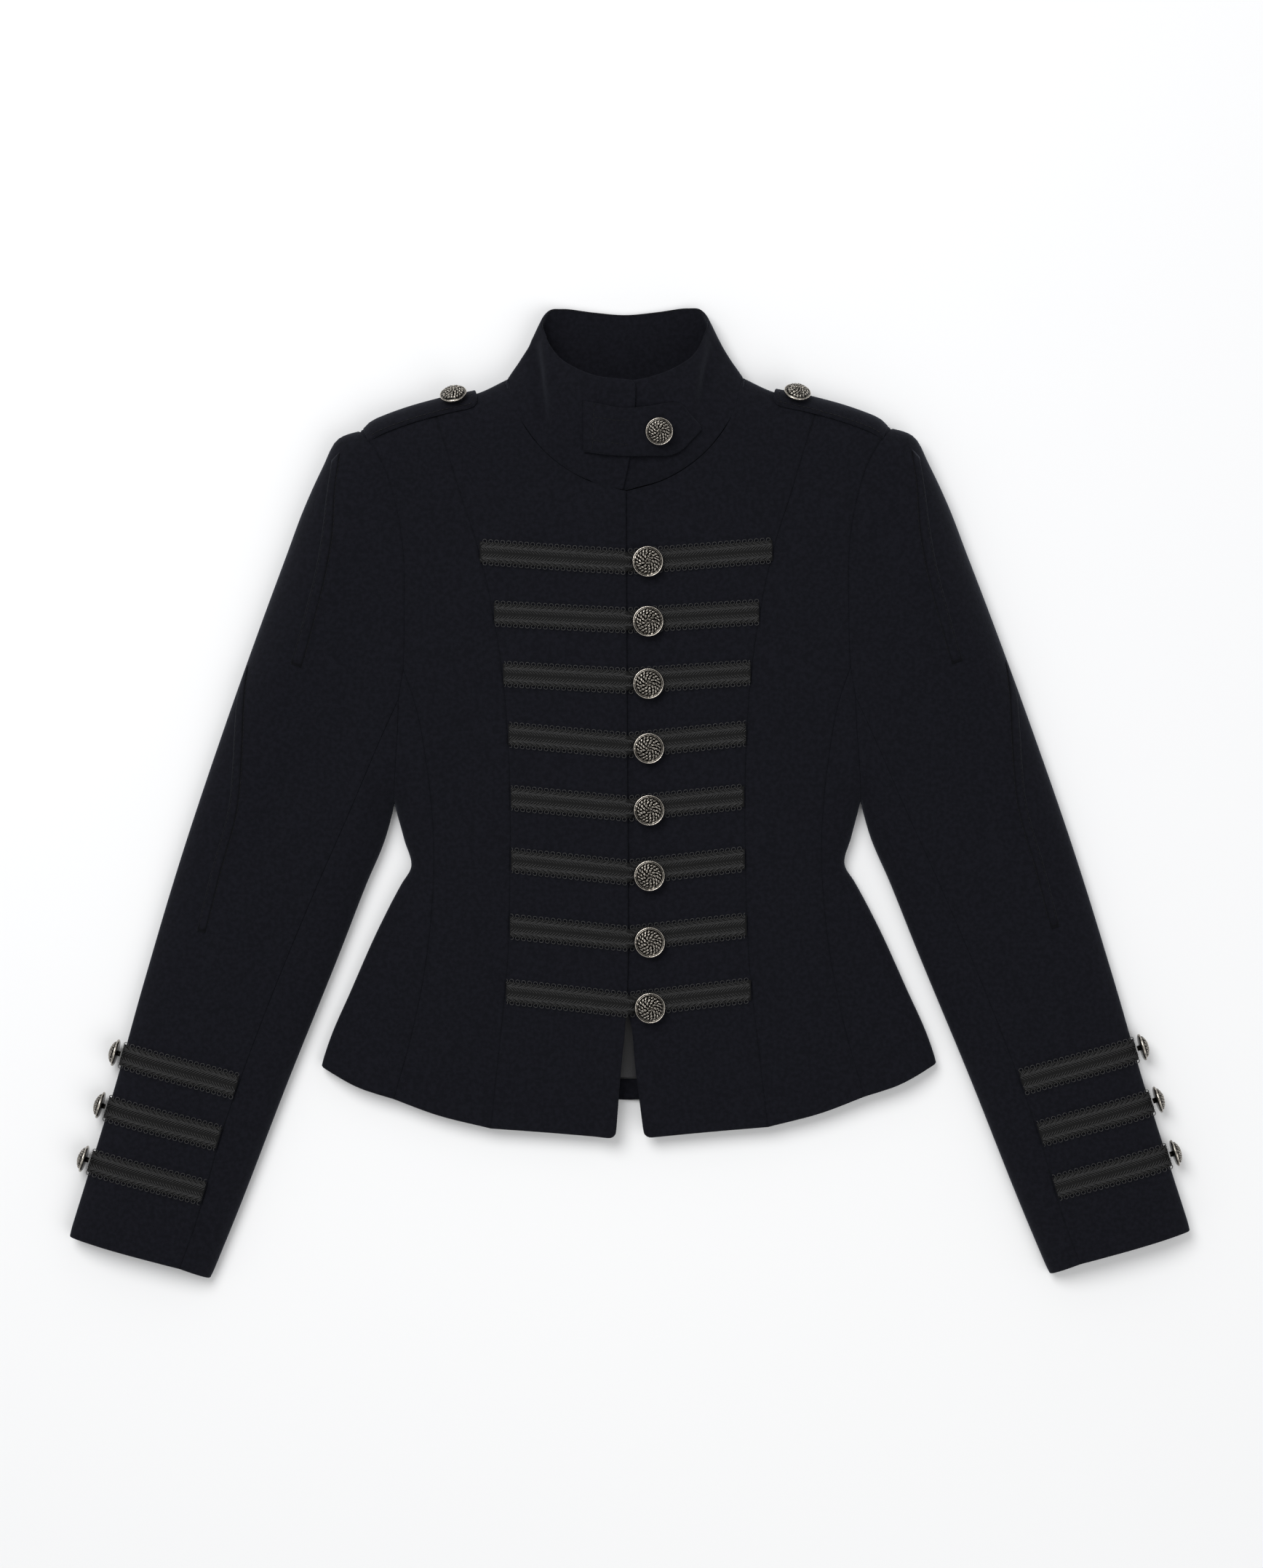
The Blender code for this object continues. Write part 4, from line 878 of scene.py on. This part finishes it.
# The epaulette: where it starts along the shoulder, how long it is, and its places over the edge (above
# zero) and under it; the shares of its width at its rounded start, and of its height at its outer end.
STRAP_FROM, STRAP_LONG = 110.0, 84.0
STRAP_SPANS = [
    11.5, 11.2, 10.6, 9.7, 8.2, 6.5, 5.0, 3.8, 2.8, 2.0, 1.3, 0.7, 0.3, 0.001,
    -0.1, -0.35, -0.8, -1.5, -2.4, -3.5, -4.8, -6.2, -7.5, -8.3, -8.7, -9.0,
]
STRAP_ROUND = [(110.0, 0.3), (110.4, 0.52), (111.0, 0.68), (112.0, 0.82), (114.0, 0.94), (117.0, 1.0)]
STRAP_TUCK = [(183.0, 1.0), (188.0, 0.8), (194.0, 0.15)]


def epaulette_grid(side, x, spans, rise):
    """Points and normals over a shoulder strap that folds over the shoulder edge."""
    ridge = on_shoulder(np.array(x))
    away = nearest_edges(ridge)[1]
    spans = np.array(spans, float)
    reach = np.abs(spans)[None, :] * np.interp(x, *zip(*STRAP_ROUND))[:, None]
    flat = ridge[:, None] + away[:, None] * reach[:, :, None]
    outer, normals = surface(flat, np.where(spans >= 0, 1, -1)[None, :], BODY_LOFT, side)
    rest = UNDER_STRAP_REST + (STRAP_REST - UNDER_STRAP_REST) * smooth_step((spans + 1.5) / 3.0)
    tuck = np.interp(x, *zip(*STRAP_TUCK))
    return outer + normals * ((rest[None, :] + rise) * tuck[:, None])[:, :, None], normals


def epaulette(side, wool, thread):
    along = STRAP_FROM + STRAP_LONG * np.array(fine_shares(STRAP_LONG, step=2.0))
    outer, normals = epaulette_grid(side, along, STRAP_SPANS, STRAP_WALL)
    cloth(side_name("epaulette", side), outer, normals, wool, wall=STRAP_WALL)
    thread_height = STRAP_WALL + 0.1
    run = epaulette_grid(side, np.linspace(114.5, 190.0, 76), [9.3], thread_height)[0][:, 0]
    end = epaulette_grid(side, [113.4], np.linspace(9.0, 1.0, 9), thread_height)[0][0]
    stitches(side_name("thread_epaulette", side), [run, end], thread)


# The strips inside the front gap: half their width, and their distance over the back panel.
PATCH_REACH = 24.0
PATCH_GAP = 0.3


def flat_patch(node, low, high, thickness, material):
    across, down = fine_shares(2 * PATCH_REACH), fine_shares(high - low)
    x = -PATCH_REACH + 2 * PATCH_REACH * np.array(across)
    y = high - (high - low) * np.array(down)
    grid = np.zeros((len(y), len(x), 3))
    grid[:, :, 0], grid[:, :, 1], grid[:, :, 2] = x[None], y[:, None], WALL + PATCH_GAP + thickness
    normals = np.broadcast_to((0.0, 0.0, 1.0), grid.shape)
    piece = shell_mesh("cloth_" + node, *rounded_shell(grid, normals, thickness))
    dress(piece, material, node)


def front_braid_surface(side, k, seam_x):
    edge_y, seam_y, _ = FRONT_BRAIDS[k]

    def place(u, v, rise):
        flat = np.stack([u, edge_y + (seam_y - edge_y) * u / seam_x + v], axis=-1)
        outer, normals = surface(flat, 1, BODY_LOFT, side)
        if side < 0:
            outer[..., 2] += front_lap(-u)
        return outer + normals * (REST + rise)[..., None]

    return place


def cuff_ends(k, v):
    """A cuff braid's ends, just inside the inseam and the outer edge, at heights v over its middle."""
    edge_y, seam_y = CUFF_BRAIDS[k][0] + v, CUFF_BRAIDS[k][1] + v
    start = np.stack([x_at(INSEAM, seam_y) + 0.8, seam_y], axis=-1)
    return start, np.stack([x_at(OUTER_EDGE, edge_y) - 0.1, edge_y], axis=-1)


def cuff_braid_surface(side, k):
    def place(u, v, rise):
        start, end = cuff_ends(k, v)
        across = np.linalg.norm(end - start, axis=-1)
        share = np.clip(1 - u / across, 0, 1)[..., None]
        outer, normals = surface(start + (end - start) * share, 1, SLEEVE_LOFT, side)
        return outer + normals * (REST + CUFF_BRAID_LIFT + rise)[..., None]

    return place


# Strands of the braid's upper half for one repeat: distance along, height over the middle, rise.
RING = [
    (-3.4, 4.4, 0.9), (-1.9, 4.7, 1.05), (-0.5, 5.3, 1.15), (0.8, 6.2, 1.2), (1.7, 7.3, 1.25),
    (1.8, 8.5, 1.25), (1.0, 9.35, 1.2), (-0.1, 9.4, 1.15), (-0.9, 8.8, 1.1), (-1.1, 7.9, 1.05),
    (-0.5, 7.1, 1.0), (0.5, 6.9, 0.9),
]
TAIL = [(-1.6, 4.5, 0.85), (-0.1, 4.8, 1.0), (1.2, 5.4, 1.05), (2.3, 6.2, 1.0), (3.0, 7.1, 0.85)]
LEAF = [(-2.4, 4.1, 0.95), (-1.3, 3.4, 1.15), (-0.2, 2.5, 1.2), (0.8, 1.6, 1.1), (1.5, 0.8, 0.85)]
REPEAT = 4.4
STRAND_RADIUS = 0.28
# The two cords between them, as height over the middle and rise, and how far they wave.
CORDS = [(4.35, 1.0), (3.6, 0.9)]
CORD_STEP = 1.1
CORD_WAVE = 0.12
# The woven ground: how far it stops short of the rings, its wall, and half the tongue's width.
GROUND_INSET = 2.1
GROUND_WALL = 0.75
TONGUE_HALF = 4.0
TONGUE_SHARE = 0.82
# By side, where a front braid starts, and where the tongue before it ends.
BRAID_START = {-1: (0.6, -5.4), 1: (1.2, 1.2)}


def first_run(rows, low, high):
    """The first unbroken run of rows between two limits along the braid."""
    inside = np.flatnonzero((rows[:, 0] > low) & (rows[:, 0] < high))
    return rows[inside[inside - np.arange(len(inside)) == inside[:1]]]


def strand_paths(start, end, tail_end):
    """The braid's strands, as rows of distance along, height over the middle, and rise."""
    ring_from, leaf_from = start - 0.3, tail_end + 0.2
    strands = [(RING, 0.0, ring_from), (TAIL, 0.0, ring_from)]
    strands += [(LEAF, 0.0, leaf_from), (LEAF, REPEAT / 2, leaf_from)]
    paths = []
    for mirror in (1, -1):
        spine = np.arange(min(start, leaf_from), end - 0.3, CORD_STEP)
        for height, rise in CORDS:
            wave = height + CORD_WAVE * np.sin(spine * 2 * math.pi / REPEAT)
            wave = np.where(spine < start, wave * TONGUE_SHARE, wave)
            paths.append(np.stack([spine, wave * mirror, np.full(len(spine), rise)], axis=1))
        for number in range(-2, int((end - start - 1.0) / REPEAT) + 3):
            at = start + (number + 0.5) * REPEAT + 0.06 * math.sin(number * 5.1)
            for table, shift, low in strands:
                rows = np.array(table) * (-1, mirror, 1) + (at + shift, 0, 0)
                run = first_run(rows, low, end)
                if len(run) > 2:
                    paths.append(smooth_line(run, int(len(run) * 1.5)))
    return paths


def braid(node, place, start, end, tail_end, materials):
    """A flat gimp braid: a thin woven ground with ringed, corded and leafed strands on it."""
    half = BRAID_HEIGHT / 2 - GROUND_INSET
    u = np.array([tail_end] + list(np.linspace(start, end, int((end - start) / 3) + 2)))
    grid_u, grid_v = np.meshgrid(u, np.linspace(half, -half, 9), indexing="ij")
    grid_v = grid_v * np.where(u < start, TONGUE_HALF / half, 1.0)[:, None]
    top = place(grid_u, grid_v, np.full(grid_u.shape, GROUND_WALL))
    under = place(grid_u, grid_v, np.zeros(grid_u.shape))
    dress(shell_mesh("braid_" + node, top, under), materials[0], node)
    paths = strand_paths(start, end, tail_end)
    points = place(*np.concatenate(paths).T)
    strands = np.split(points, np.cumsum([len(path) for path in paths])[:-1])
    dress(new_object("strands_" + node, *tubes(strands, STRAND_RADIUS)), materials[1], node)


def braids(materials):
    for side in (-1, 1):
        start, tail_end = BRAID_START[side]
        for k, (_, seam_y, _) in enumerate(FRONT_BRAIDS):
            seam_x = float(x_at(FRONT_SEAM, seam_y)) - 0.6
            node = f"{side_name('front_braid', side)}_{k + 1}"
            braid(node, front_braid_surface(side, k, seam_x), start, seam_x, tail_end, materials)
        for k in range(len(CUFF_BRAIDS)):
            inner, outer = cuff_ends(k, 0.0)
            node = f"{side_name('cuff_braid', side)}_{k + 1}"
            braid(node, cuff_braid_surface(side, k), 0.0, math.dist(inner, outer), 0.0, materials)


# The button's outline from its foot up, as shares of its radius: reach, height.
BUTTON_OUTLINE = [
    (0.0, 0.0), (0.2, 0.0), (0.2, 0.2), (0.3, 0.24), (0.86, 0.25), (0.97, 0.3), (1.0, 0.36), (0.99, 0.41),
    (0.965, 0.44), (0.935, 0.43), (0.925, 0.395), (0.91, 0.38), (0.895, 0.4), (0.88, 0.43), (0.86, 0.435),
]
DOME_EDGE = (0.845, 0.425)
DOME_TOP = 0.74
DOME_RINGS = 34
BUTTON_SIDES = 128
# How many turns the rope has, and how far it, its beads, the leaves and the pebbles stand out.
ROPE_TWISTS = 52
ROPE_RELIEF, BEAD_RELIEF = 0.012, 0.014
LEAF_RELIEF, PEBBLE_RELIEF = 0.12, 0.02
# Rings of small leaves on the dome: inner and outer reach, leaves round, and their turn.
LEAF_RINGS = [(0.0, 0.26, 5, 0.0), (0.2, 0.5, 9, 0.5), (0.42, 0.68, 14, 0.2), (0.61, 0.835, 20, 0.7)]


def dome_relief(reach, turn):
    """A generic leafy rosette: rings of small veined leaves, with pebbled ground between."""
    total = np.zeros(reach.shape)
    for inner, outer, leaves, shift in LEAF_RINGS:
        middle, half = (inner + outer) / 2, (outer - inner) / 2
        along = np.clip(1 - ((reach - middle) / half) ** 2, 0, 1)
        swirl = 1.6 * (reach - middle) / half
        across = np.cos(turn * leaves + shift * 2 * math.pi + swirl)
        leaf = np.clip(along * 1.3 - (1 - across) * 0.6, 0, 1) ** 0.6
        vein = 0.5 * np.exp(-(((1 - across) / 0.06) ** 2)) * along
        total = np.maximum(total, leaf - vein)
    pebbles = np.sin(reach * 92 + 3 * np.sin(turn * 7)) * np.sin(turn * 31 + 5 * np.sin(reach * 21))
    return LEAF_RELIEF * total + PEBBLE_RELIEF * pebbles * (1 - 0.5 * total)


def fine_button(node, radius, foot, axis, metal):
    """A shank button with a roped rim and a domed, embossed face."""
    axis = np.array(axis, float) / np.linalg.norm(axis)
    guide = np.array([0.0, 1.0, 0.0]) if abs(axis[1]) < 0.9 else np.array([1.0, 0.0, 0.0])
    across = np.cross(axis, guide)
    across /= np.linalg.norm(across)
    other = np.cross(axis, across)
    sides = BUTTON_SIDES
    turn = np.arange(sides) * 2 * math.pi / sides
    spoke = across[None] * np.cos(turn)[:, None] + other[None] * np.sin(turn)[:, None]
    rings = []
    for reach, height in BUTTON_OUTLINE[1:]:
        on_rope, on_bead = height >= 0.36 and reach > 0.93, 0.87 < reach < 0.9
        rope = ROPE_RELIEF * np.sin(turn * ROPE_TWISTS + height * 30) if on_rope else 0.0
        bead = BEAD_RELIEF * np.cos(turn * ROPE_TWISTS) if on_bead else 0.0
        rings.append((np.full(sides, reach) + rope, np.full(sides, height) + rope * 0.6 + bead))
    for reach in np.linspace(DOME_EDGE[0], 0.02, DOME_RINGS):
        share = reach / DOME_EDGE[0]
        height = DOME_EDGE[1] + (DOME_TOP - DOME_EDGE[1]) * (1 - share**2) ** 0.85
        relief = dome_relief(np.full(sides, reach), turn) * min(1.0, (DOME_EDGE[0] - reach) * 25)
        rings.append((np.full(sides, reach), height + relief))
    points = [np.array(foot, float)[None]]
    for reach, height in rings:
        points.append(foot + axis[None] * (height * radius)[:, None] + spoke * (reach * radius)[:, None])
    top = DOME_TOP + float(dome_relief(np.array([0.0]), np.array([0.0]))[0])
    points.append((foot + axis * top * radius)[None])
    index = 1 + np.arange(len(rings) * sides).reshape(len(rings), sides)
    after = np.roll(index, -1, axis=1)
    faces = np.stack([index[:-1], after[:-1], after[1:], index[1:]], axis=-1).reshape(-1, 4).tolist()
    last = int(index[-1, -1]) + 1
    faces += [(0, int(b), int(a)) for a, b in zip(index[0], after[0])]
    faces += [(last, int(a), int(b)) for a, b in zip(index[-1], after[-1])]
    points = np.concatenate(points)
    mid = points.mean(0)
    a, b, c = (points[[face[k] for face in faces]] - mid for k in range(3))
    if (a * np.cross(b, c)).sum() < 0:
        faces = [tuple(face[::-1]) for face in faces]
    dress(new_object("button_" + node, points * MM, faces), metal, node)


# A side for surface() that none of the folds is on, so that the front buttons stand level.
FOLDLESS = 0.999


def buttons(metal):
    on_braid = REST + BRAID_WALL + BRAID_BUTTON_GAP
    for k, (_, _, y) in enumerate(FRONT_BRAIDS, start=1):
        point, normal = surface(np.array([[BUTTON_LINE, y]]), 1, BODY_LOFT, FOLDLESS)
        foot = point[0] + normal[0] * on_braid
        fine_button(f"front_button_{k}", FRONT_BUTTON / 2, foot, (0, 0, 1), metal)
    foot = tab_place(np.array([TAB_BUTTON]), TAB_BUTTON_GAP)[0]
    fine_button("tab_button", SMALL_BUTTON / 2, foot, (0, -0.1, 1), metal)
    x, forward = EPAULETTE_BUTTON
    ridge = on_shoulder(np.array([x]))
    on_strap = ridge + nearest_edges(ridge)[1] * forward
    for side in (-1, 1):
        point, normal = surface(on_strap, 1, BODY_LOFT, side)
        foot = point[0] + normal[0] * (STRAP_REST + STRAP_WALL + STRAP_BUTTON_GAP)
        fine_button(side_name("epaulette_button", side), SMALL_BUTTON / 2, foot, normal[0], metal)
        for k, (edge_y, _) in enumerate(CUFF_BRAIDS, start=1):
            at = np.array([[x_at(OUTER_EDGE, edge_y), edge_y]])
            away = -np.append(nearest_edges(at)[1][0], 0.0) * (side, 1.0, 1.0)
            foot = surface(at, 1, SLEEVE_LOFT, side)[0][0] + away * (REST + CUFF_BRAID_LIFT + BRAID_WALL)
            fine_button(f"{side_name('cuff_button', side)}_{k}", SMALL_BUTTON / 2, foot, away, metal)


# The darts: their stitched line as x and y, and the line of the fold beside it.
HEAD_DART = [
    (209.7, 251.6, 216.3, 245.2), (213.2, 229.5, 219.6, 222.5), (215.9, 188.5, 223.7, 188.5),
    (221.0, 159.8, 228.9, 159.8), (226.7, 137.2, 236.0, 132.8), (238.8, 92.9, 246.7, 95.6),
]
ELBOW_DART = [
    (279.4, 94.5, 280.6, 94.9), (281.8, 72.9, 287.0, 73.2), (282.9, 43.7, 289.4, 43.8),
    (284.3, 16.7, 290.8, 17.0), (286.6, -7.0, 293.1, -6.2), (300.4, -58.9, 306.8, -57.0),
    (311.4, -102.1, 317.8, -100.4),
]
DART_ROWS = 60
DART_RISE = 0.75
DART_THREAD = 0.2


def dart(name, side, table, wool, thread):
    """A stitched-down dart on a sleeve: a thin raised band with a stitched line along each side."""
    rows = smooth_line(table, DART_ROWS)
    u = np.array([0.0, 0.08, 0.2, 0.4, 0.6, 0.8, 0.92, 1.0])
    flat = rows[:, None, :2] * (1 - u)[None, :, None] + rows[:, None, 2:] * u[None, :, None]
    outer, normals = surface(flat, 1, SLEEVE_LOFT, side)
    ends = np.clip(np.minimum(np.arange(DART_ROWS), np.arange(DART_ROWS)[::-1]) / 2.0, 0, 1)
    rise = DART_RISE * np.clip(8 * u, 0, 1) * np.clip((1 - u) * 10, 0, 1)
    top = outer + normals * (0.12 + rise[None] * (0.4 + 0.6 * ends[:, None]))[:, :, None]
    dress(shell_mesh(side_name(name, side), top, outer - normals * 0.4), wool)
    runs = []
    for inset in (-0.06, 0.82):
        line = rows[2:-2, :2] * (1 - inset) + rows[2:-2, 2:] * inset
        points, up = surface(line[:, None], 1, SLEEVE_LOFT, side)
        runs.append((points + up * (0.05 if inset < 0 else 0.7))[:, 0])
    stitches(side_name("thread_" + name, side), runs, thread, DART_THREAD)


def node_material(name):
    material = bpy.data.materials.new(name)
    material.use_nodes = True
    return material, material.node_tree.nodes, material.node_tree.links


def noise(nodes, links, scale, detail, stretch=None):
    """Noise over the object's own coordinates, drawn out along an axis if asked for."""
    texture = nodes.new("ShaderNodeTexNoise")
    texture.inputs["Scale"].default_value = scale
    texture.inputs["Detail"].default_value = detail
    coordinates = nodes.new("ShaderNodeTexCoord").outputs["Object"]
    if stretch:
        mapping = nodes.new("ShaderNodeMapping")
        mapping.inputs["Scale"].default_value = stretch
        links.new(coordinates, mapping.inputs["Vector"])
        coordinates = mapping.outputs["Vector"]
    links.new(coordinates, texture.inputs["Vector"])
    return texture.outputs["Fac"]


def mixed(nodes, links, share, dark, light, low=0.3, high=0.7):
    """A colour that goes from dark to light as the share goes from low to high."""
    ramp = nodes.new("ShaderNodeValToRGB")
    ramp.color_ramp.elements[0].position, ramp.color_ramp.elements[1].position = low, high
    ramp.color_ramp.elements[0].color, ramp.color_ramp.elements[1].color = (*dark, 1), (*light, 1)
    links.new(share, ramp.inputs["Fac"])
    return ramp.outputs["Color"]


def bump(nodes, links, height, strength, distance, under=None):
    node = nodes.new("ShaderNodeBump")
    node.inputs["Strength"].default_value = strength
    node.inputs["Distance"].default_value = distance
    links.new(height, node.inputs["Height"])
    if under is not None:
        links.new(under, node.inputs["Normal"])
    return node.outputs["Normal"]


WOOL_DARK = (0.0031, 0.0033, 0.0056)
WOOL_LIGHT = (0.0054, 0.0056, 0.0090)
# How much colour is left where an edge turns down into a seam, a painted shade standing in for the groove's
# shadow, and where no painted shade darkens it.
SEAM_PAINTED_SHADE = (0.3, 0.3, 0.3)
NO_PAINTED_SHADE = (1.0, 1.0, 1.0)
TARNISHED, WORN = (0.003, 0.0028, 0.0026), (0.85, 0.79, 0.7)
SATIN_DARK, SATIN_LIGHT = (0.006, 0.0058, 0.0076), (0.012, 0.0115, 0.0148)


def wool_material(name, seam_painted_shade=SEAM_PAINTED_SHADE):
    """Black melton: short matted nap, fine fibres, slight mottling, and painted shade along the seams where
    an edge turns down.
    """
    material, nodes, links = node_material(name)
    shader = nodes["Principled BSDF"]
    mottle = noise(nodes, links, 340.0, 8.0)
    geometry = nodes.new("ShaderNodeNewGeometry")
    # Painted shade: the pointiness of an edge turning down into a seam darkens the cloth's colour.
    painted_seam_shade = mixed(nodes, links, geometry.outputs["Pointiness"], NO_PAINTED_SHADE, seam_painted_shade, 0.52, 0.56)
    painted_shade_mix = nodes.new("ShaderNodeVectorMath")
    painted_shade_mix.operation = "MULTIPLY"
    links.new(mixed(nodes, links, mottle, WOOL_DARK, WOOL_LIGHT, 0.38, 0.64), painted_shade_mix.inputs[0])
    links.new(painted_seam_shade, painted_shade_mix.inputs[1])
    links.new(painted_shade_mix.outputs["Vector"], shader.inputs["Base Color"])
    shader.inputs["Roughness"].default_value = 0.92
    shader.inputs["Specular IOR Level"].default_value = 0.12
    shader.inputs["Sheen Weight"].default_value = 0.12
    shader.inputs["Sheen Roughness"].default_value = 0.45
    shader.inputs["Sheen Tint"].default_value = (0.55, 0.6, 0.75, 1)
    fibres = bump(nodes, links, noise(nodes, links, 2600.0, 3.0), 0.35, 0.0003)
    nap = bump(nodes, links, noise(nodes, links, 520.0, 4.0), 0.25, 0.0005, fibres)
    links.new(bump(nodes, links, noise(nodes, links, 60.0, 2.0), 0.2, 0.0015, nap), shader.inputs["Normal"])
    return material


def thread_material(name, dark, light, roughness, pitch, sheen=0.0):
    """Twisted yarn: one fine noise bumps the plies, and the same noise paints shade into their low places,
    darker between the plies.
    """
    material, nodes, links = node_material(name)
    shader = nodes["Principled BSDF"]
    fine = noise(nodes, links, pitch, 2.0)
    # Painted shade: the colour is darker where the same noise lowers the bump.
    links.new(mixed(nodes, links, fine, dark, light), shader.inputs["Base Color"])
    shader.inputs["Roughness"].default_value = roughness
    shader.inputs["Specular IOR Level"].default_value = 0.3
    shader.inputs["Sheen Weight"].default_value = sheen
    links.new(bump(nodes, links, fine, 0.5, 0.0003), shader.inputs["Normal"])
    return material


def metal_material():
    """Antique silver: pale and worn on the raised parts, blackened in the recesses."""
    material, nodes, links = node_material("antique_silver")
    shader = nodes["Principled BSDF"]
    geometry = nodes.new("ShaderNodeNewGeometry")
    tarnish = noise(nodes, links, 700.0, 3.0)
    add = nodes.new("ShaderNodeMath")
    add.operation = "MULTIPLY_ADD"
    links.new(tarnish, add.inputs[0])
    add.inputs[1].default_value = 0.16
    links.new(geometry.outputs["Pointiness"], add.inputs[2])
    color = mixed(nodes, links, add.outputs["Value"], TARNISHED, WORN, 0.575, 0.685)
    links.new(color, shader.inputs["Base Color"])
    shader.inputs["Metallic"].default_value = 1.0
    shader.inputs["Roughness"].default_value = 0.22
    links.new(bump(nodes, links, tarnish, 0.3, 0.0002), shader.inputs["Normal"])
    return material


def satin_material():
    material, nodes, links = node_material("lining_satin")
    shader = nodes["Principled BSDF"]
    weave = noise(nodes, links, 900.0, 2.0, stretch=(1.0, 0.12, 1.0))
    # Painted light and shade: the streaky noise that bumps the weave also makes its raised streaks lighter
    # and its low ones darker.
    links.new(mixed(nodes, links, weave, SATIN_DARK, SATIN_LIGHT), shader.inputs["Base Color"])
    shader.inputs["Roughness"].default_value = 0.38
    links.new(bump(nodes, links, weave, 0.15, 0.0003), shader.inputs["Normal"])
    return material


FLOOR_DARK, FLOOR_LIGHT = (0.9, 0.905, 0.915), (0.92, 0.925, 0.93)


def floor_material():
    material, nodes, links = node_material("pale_floor")
    shader = nodes["Principled BSDF"]
    soft = noise(nodes, links, 0.8, 1.0)
    links.new(mixed(nodes, links, soft, FLOOR_DARK, FLOOR_LIGHT), shader.inputs["Base Color"])
    shader.inputs["Roughness"].default_value = 0.9
    shader.inputs["Specular IOR Level"].default_value = 0.1
    return material


def area_light(name, place, size, power):
    """A round light that faces the jacket's middle."""
    light = bpy.data.lights.new(name, "AREA")
    light.shape, light.size, light.energy = "DISK", size, power
    lamp = bpy.data.objects.new(name, light)
    lamp.location = place
    lamp.rotation_euler = (-Vector(place)).to_track_quat("-Z", "Y").to_euler()
    bpy.context.scene.collection.objects.link(lamp)


def studio():
    scene = bpy.context.scene
    corners = [(x * FLOOR_REACH, y * FLOOR_REACH, 0.0) for x, y in ((-1, -1), (1, -1), (1, 1), (-1, 1))]
    floor = new_object("floor", corners, [(0, 1, 2, 3)])
    floor.location.z = -FLOOR_DROP
    floor.data.materials.append(floor_material())
    area_light("key", (-1.1, 1.6, 2.9), 2.2, KEY_POWER)
    area_light("fill", (1.6, -1.4, 2.8), 3.0, FILL_POWER)
    world = bpy.data.worlds.new("studio_air")
    world.use_nodes = True
    world.node_tree.nodes["Background"].inputs["Color"].default_value = (1.0, 1.0, 1.0, 1)
    world.node_tree.nodes["Background"].inputs["Strength"].default_value = AIR
    scene.world = world
    scene.view_settings.view_transform = "Standard"
    eye = bpy.data.cameras.new("camera")
    eye.sensor_fit = "VERTICAL"
    eye.sensor_height = SENSOR
    eye.lens = SENSOR * CAMERA_HEIGHT / VIEW_HEIGHT
    camera = bpy.data.objects.new("camera", eye)
    camera.location = (CAMERA_X, CAMERA_Y, CAMERA_HEIGHT)
    camera.rotation_euler = (0, 0, math.radians(CAMERA_ROLL))
    scene.collection.objects.link(camera)
    scene.camera = camera


def build():
    wool = wool_material("black_wool")
    thread = thread_material("black_thread", (0.001, 0.001, 0.0012), (0.003, 0.003, 0.004), 0.7, 1500.0)
    ground = thread_material("braid_ground", (0.0008, 0.0008, 0.0009), (0.002, 0.002, 0.0022), 0.85, 900.0)
    strand = thread_material("braid_strand", (0.009, 0.009, 0.0093), (0.04, 0.04, 0.041), 0.45, 1300.0, 0.05)
    metal = metal_material()
    for side in (-1, 1):
        front_center(side, wool)
        front_side(side, wool)
        side_panel(side, wool)
        back_side(side, wool)
        top_sleeve(side, wool)
        under_sleeve(side, wool)
        epaulette(side, wool, thread)
        dart("head_dart", side, HEAD_DART, wool, thread)
        dart("elbow_dart", side, ELBOW_DART, wool, thread)
    back_center(wool)
    collar(wool_material("collar_wool", NO_PAINTED_SHADE), thread)
    collar_tab(wool, thread)
    braids((ground, strand))
    buttons(metal)
    flat_patch("back_lining", -212.0, -130.0, 1.0, satin_material())
    flat_patch("hem_facing", -227.0, -212.4, 1.4, wool)
    studio()


build()
bpy.context.view_layer.update()
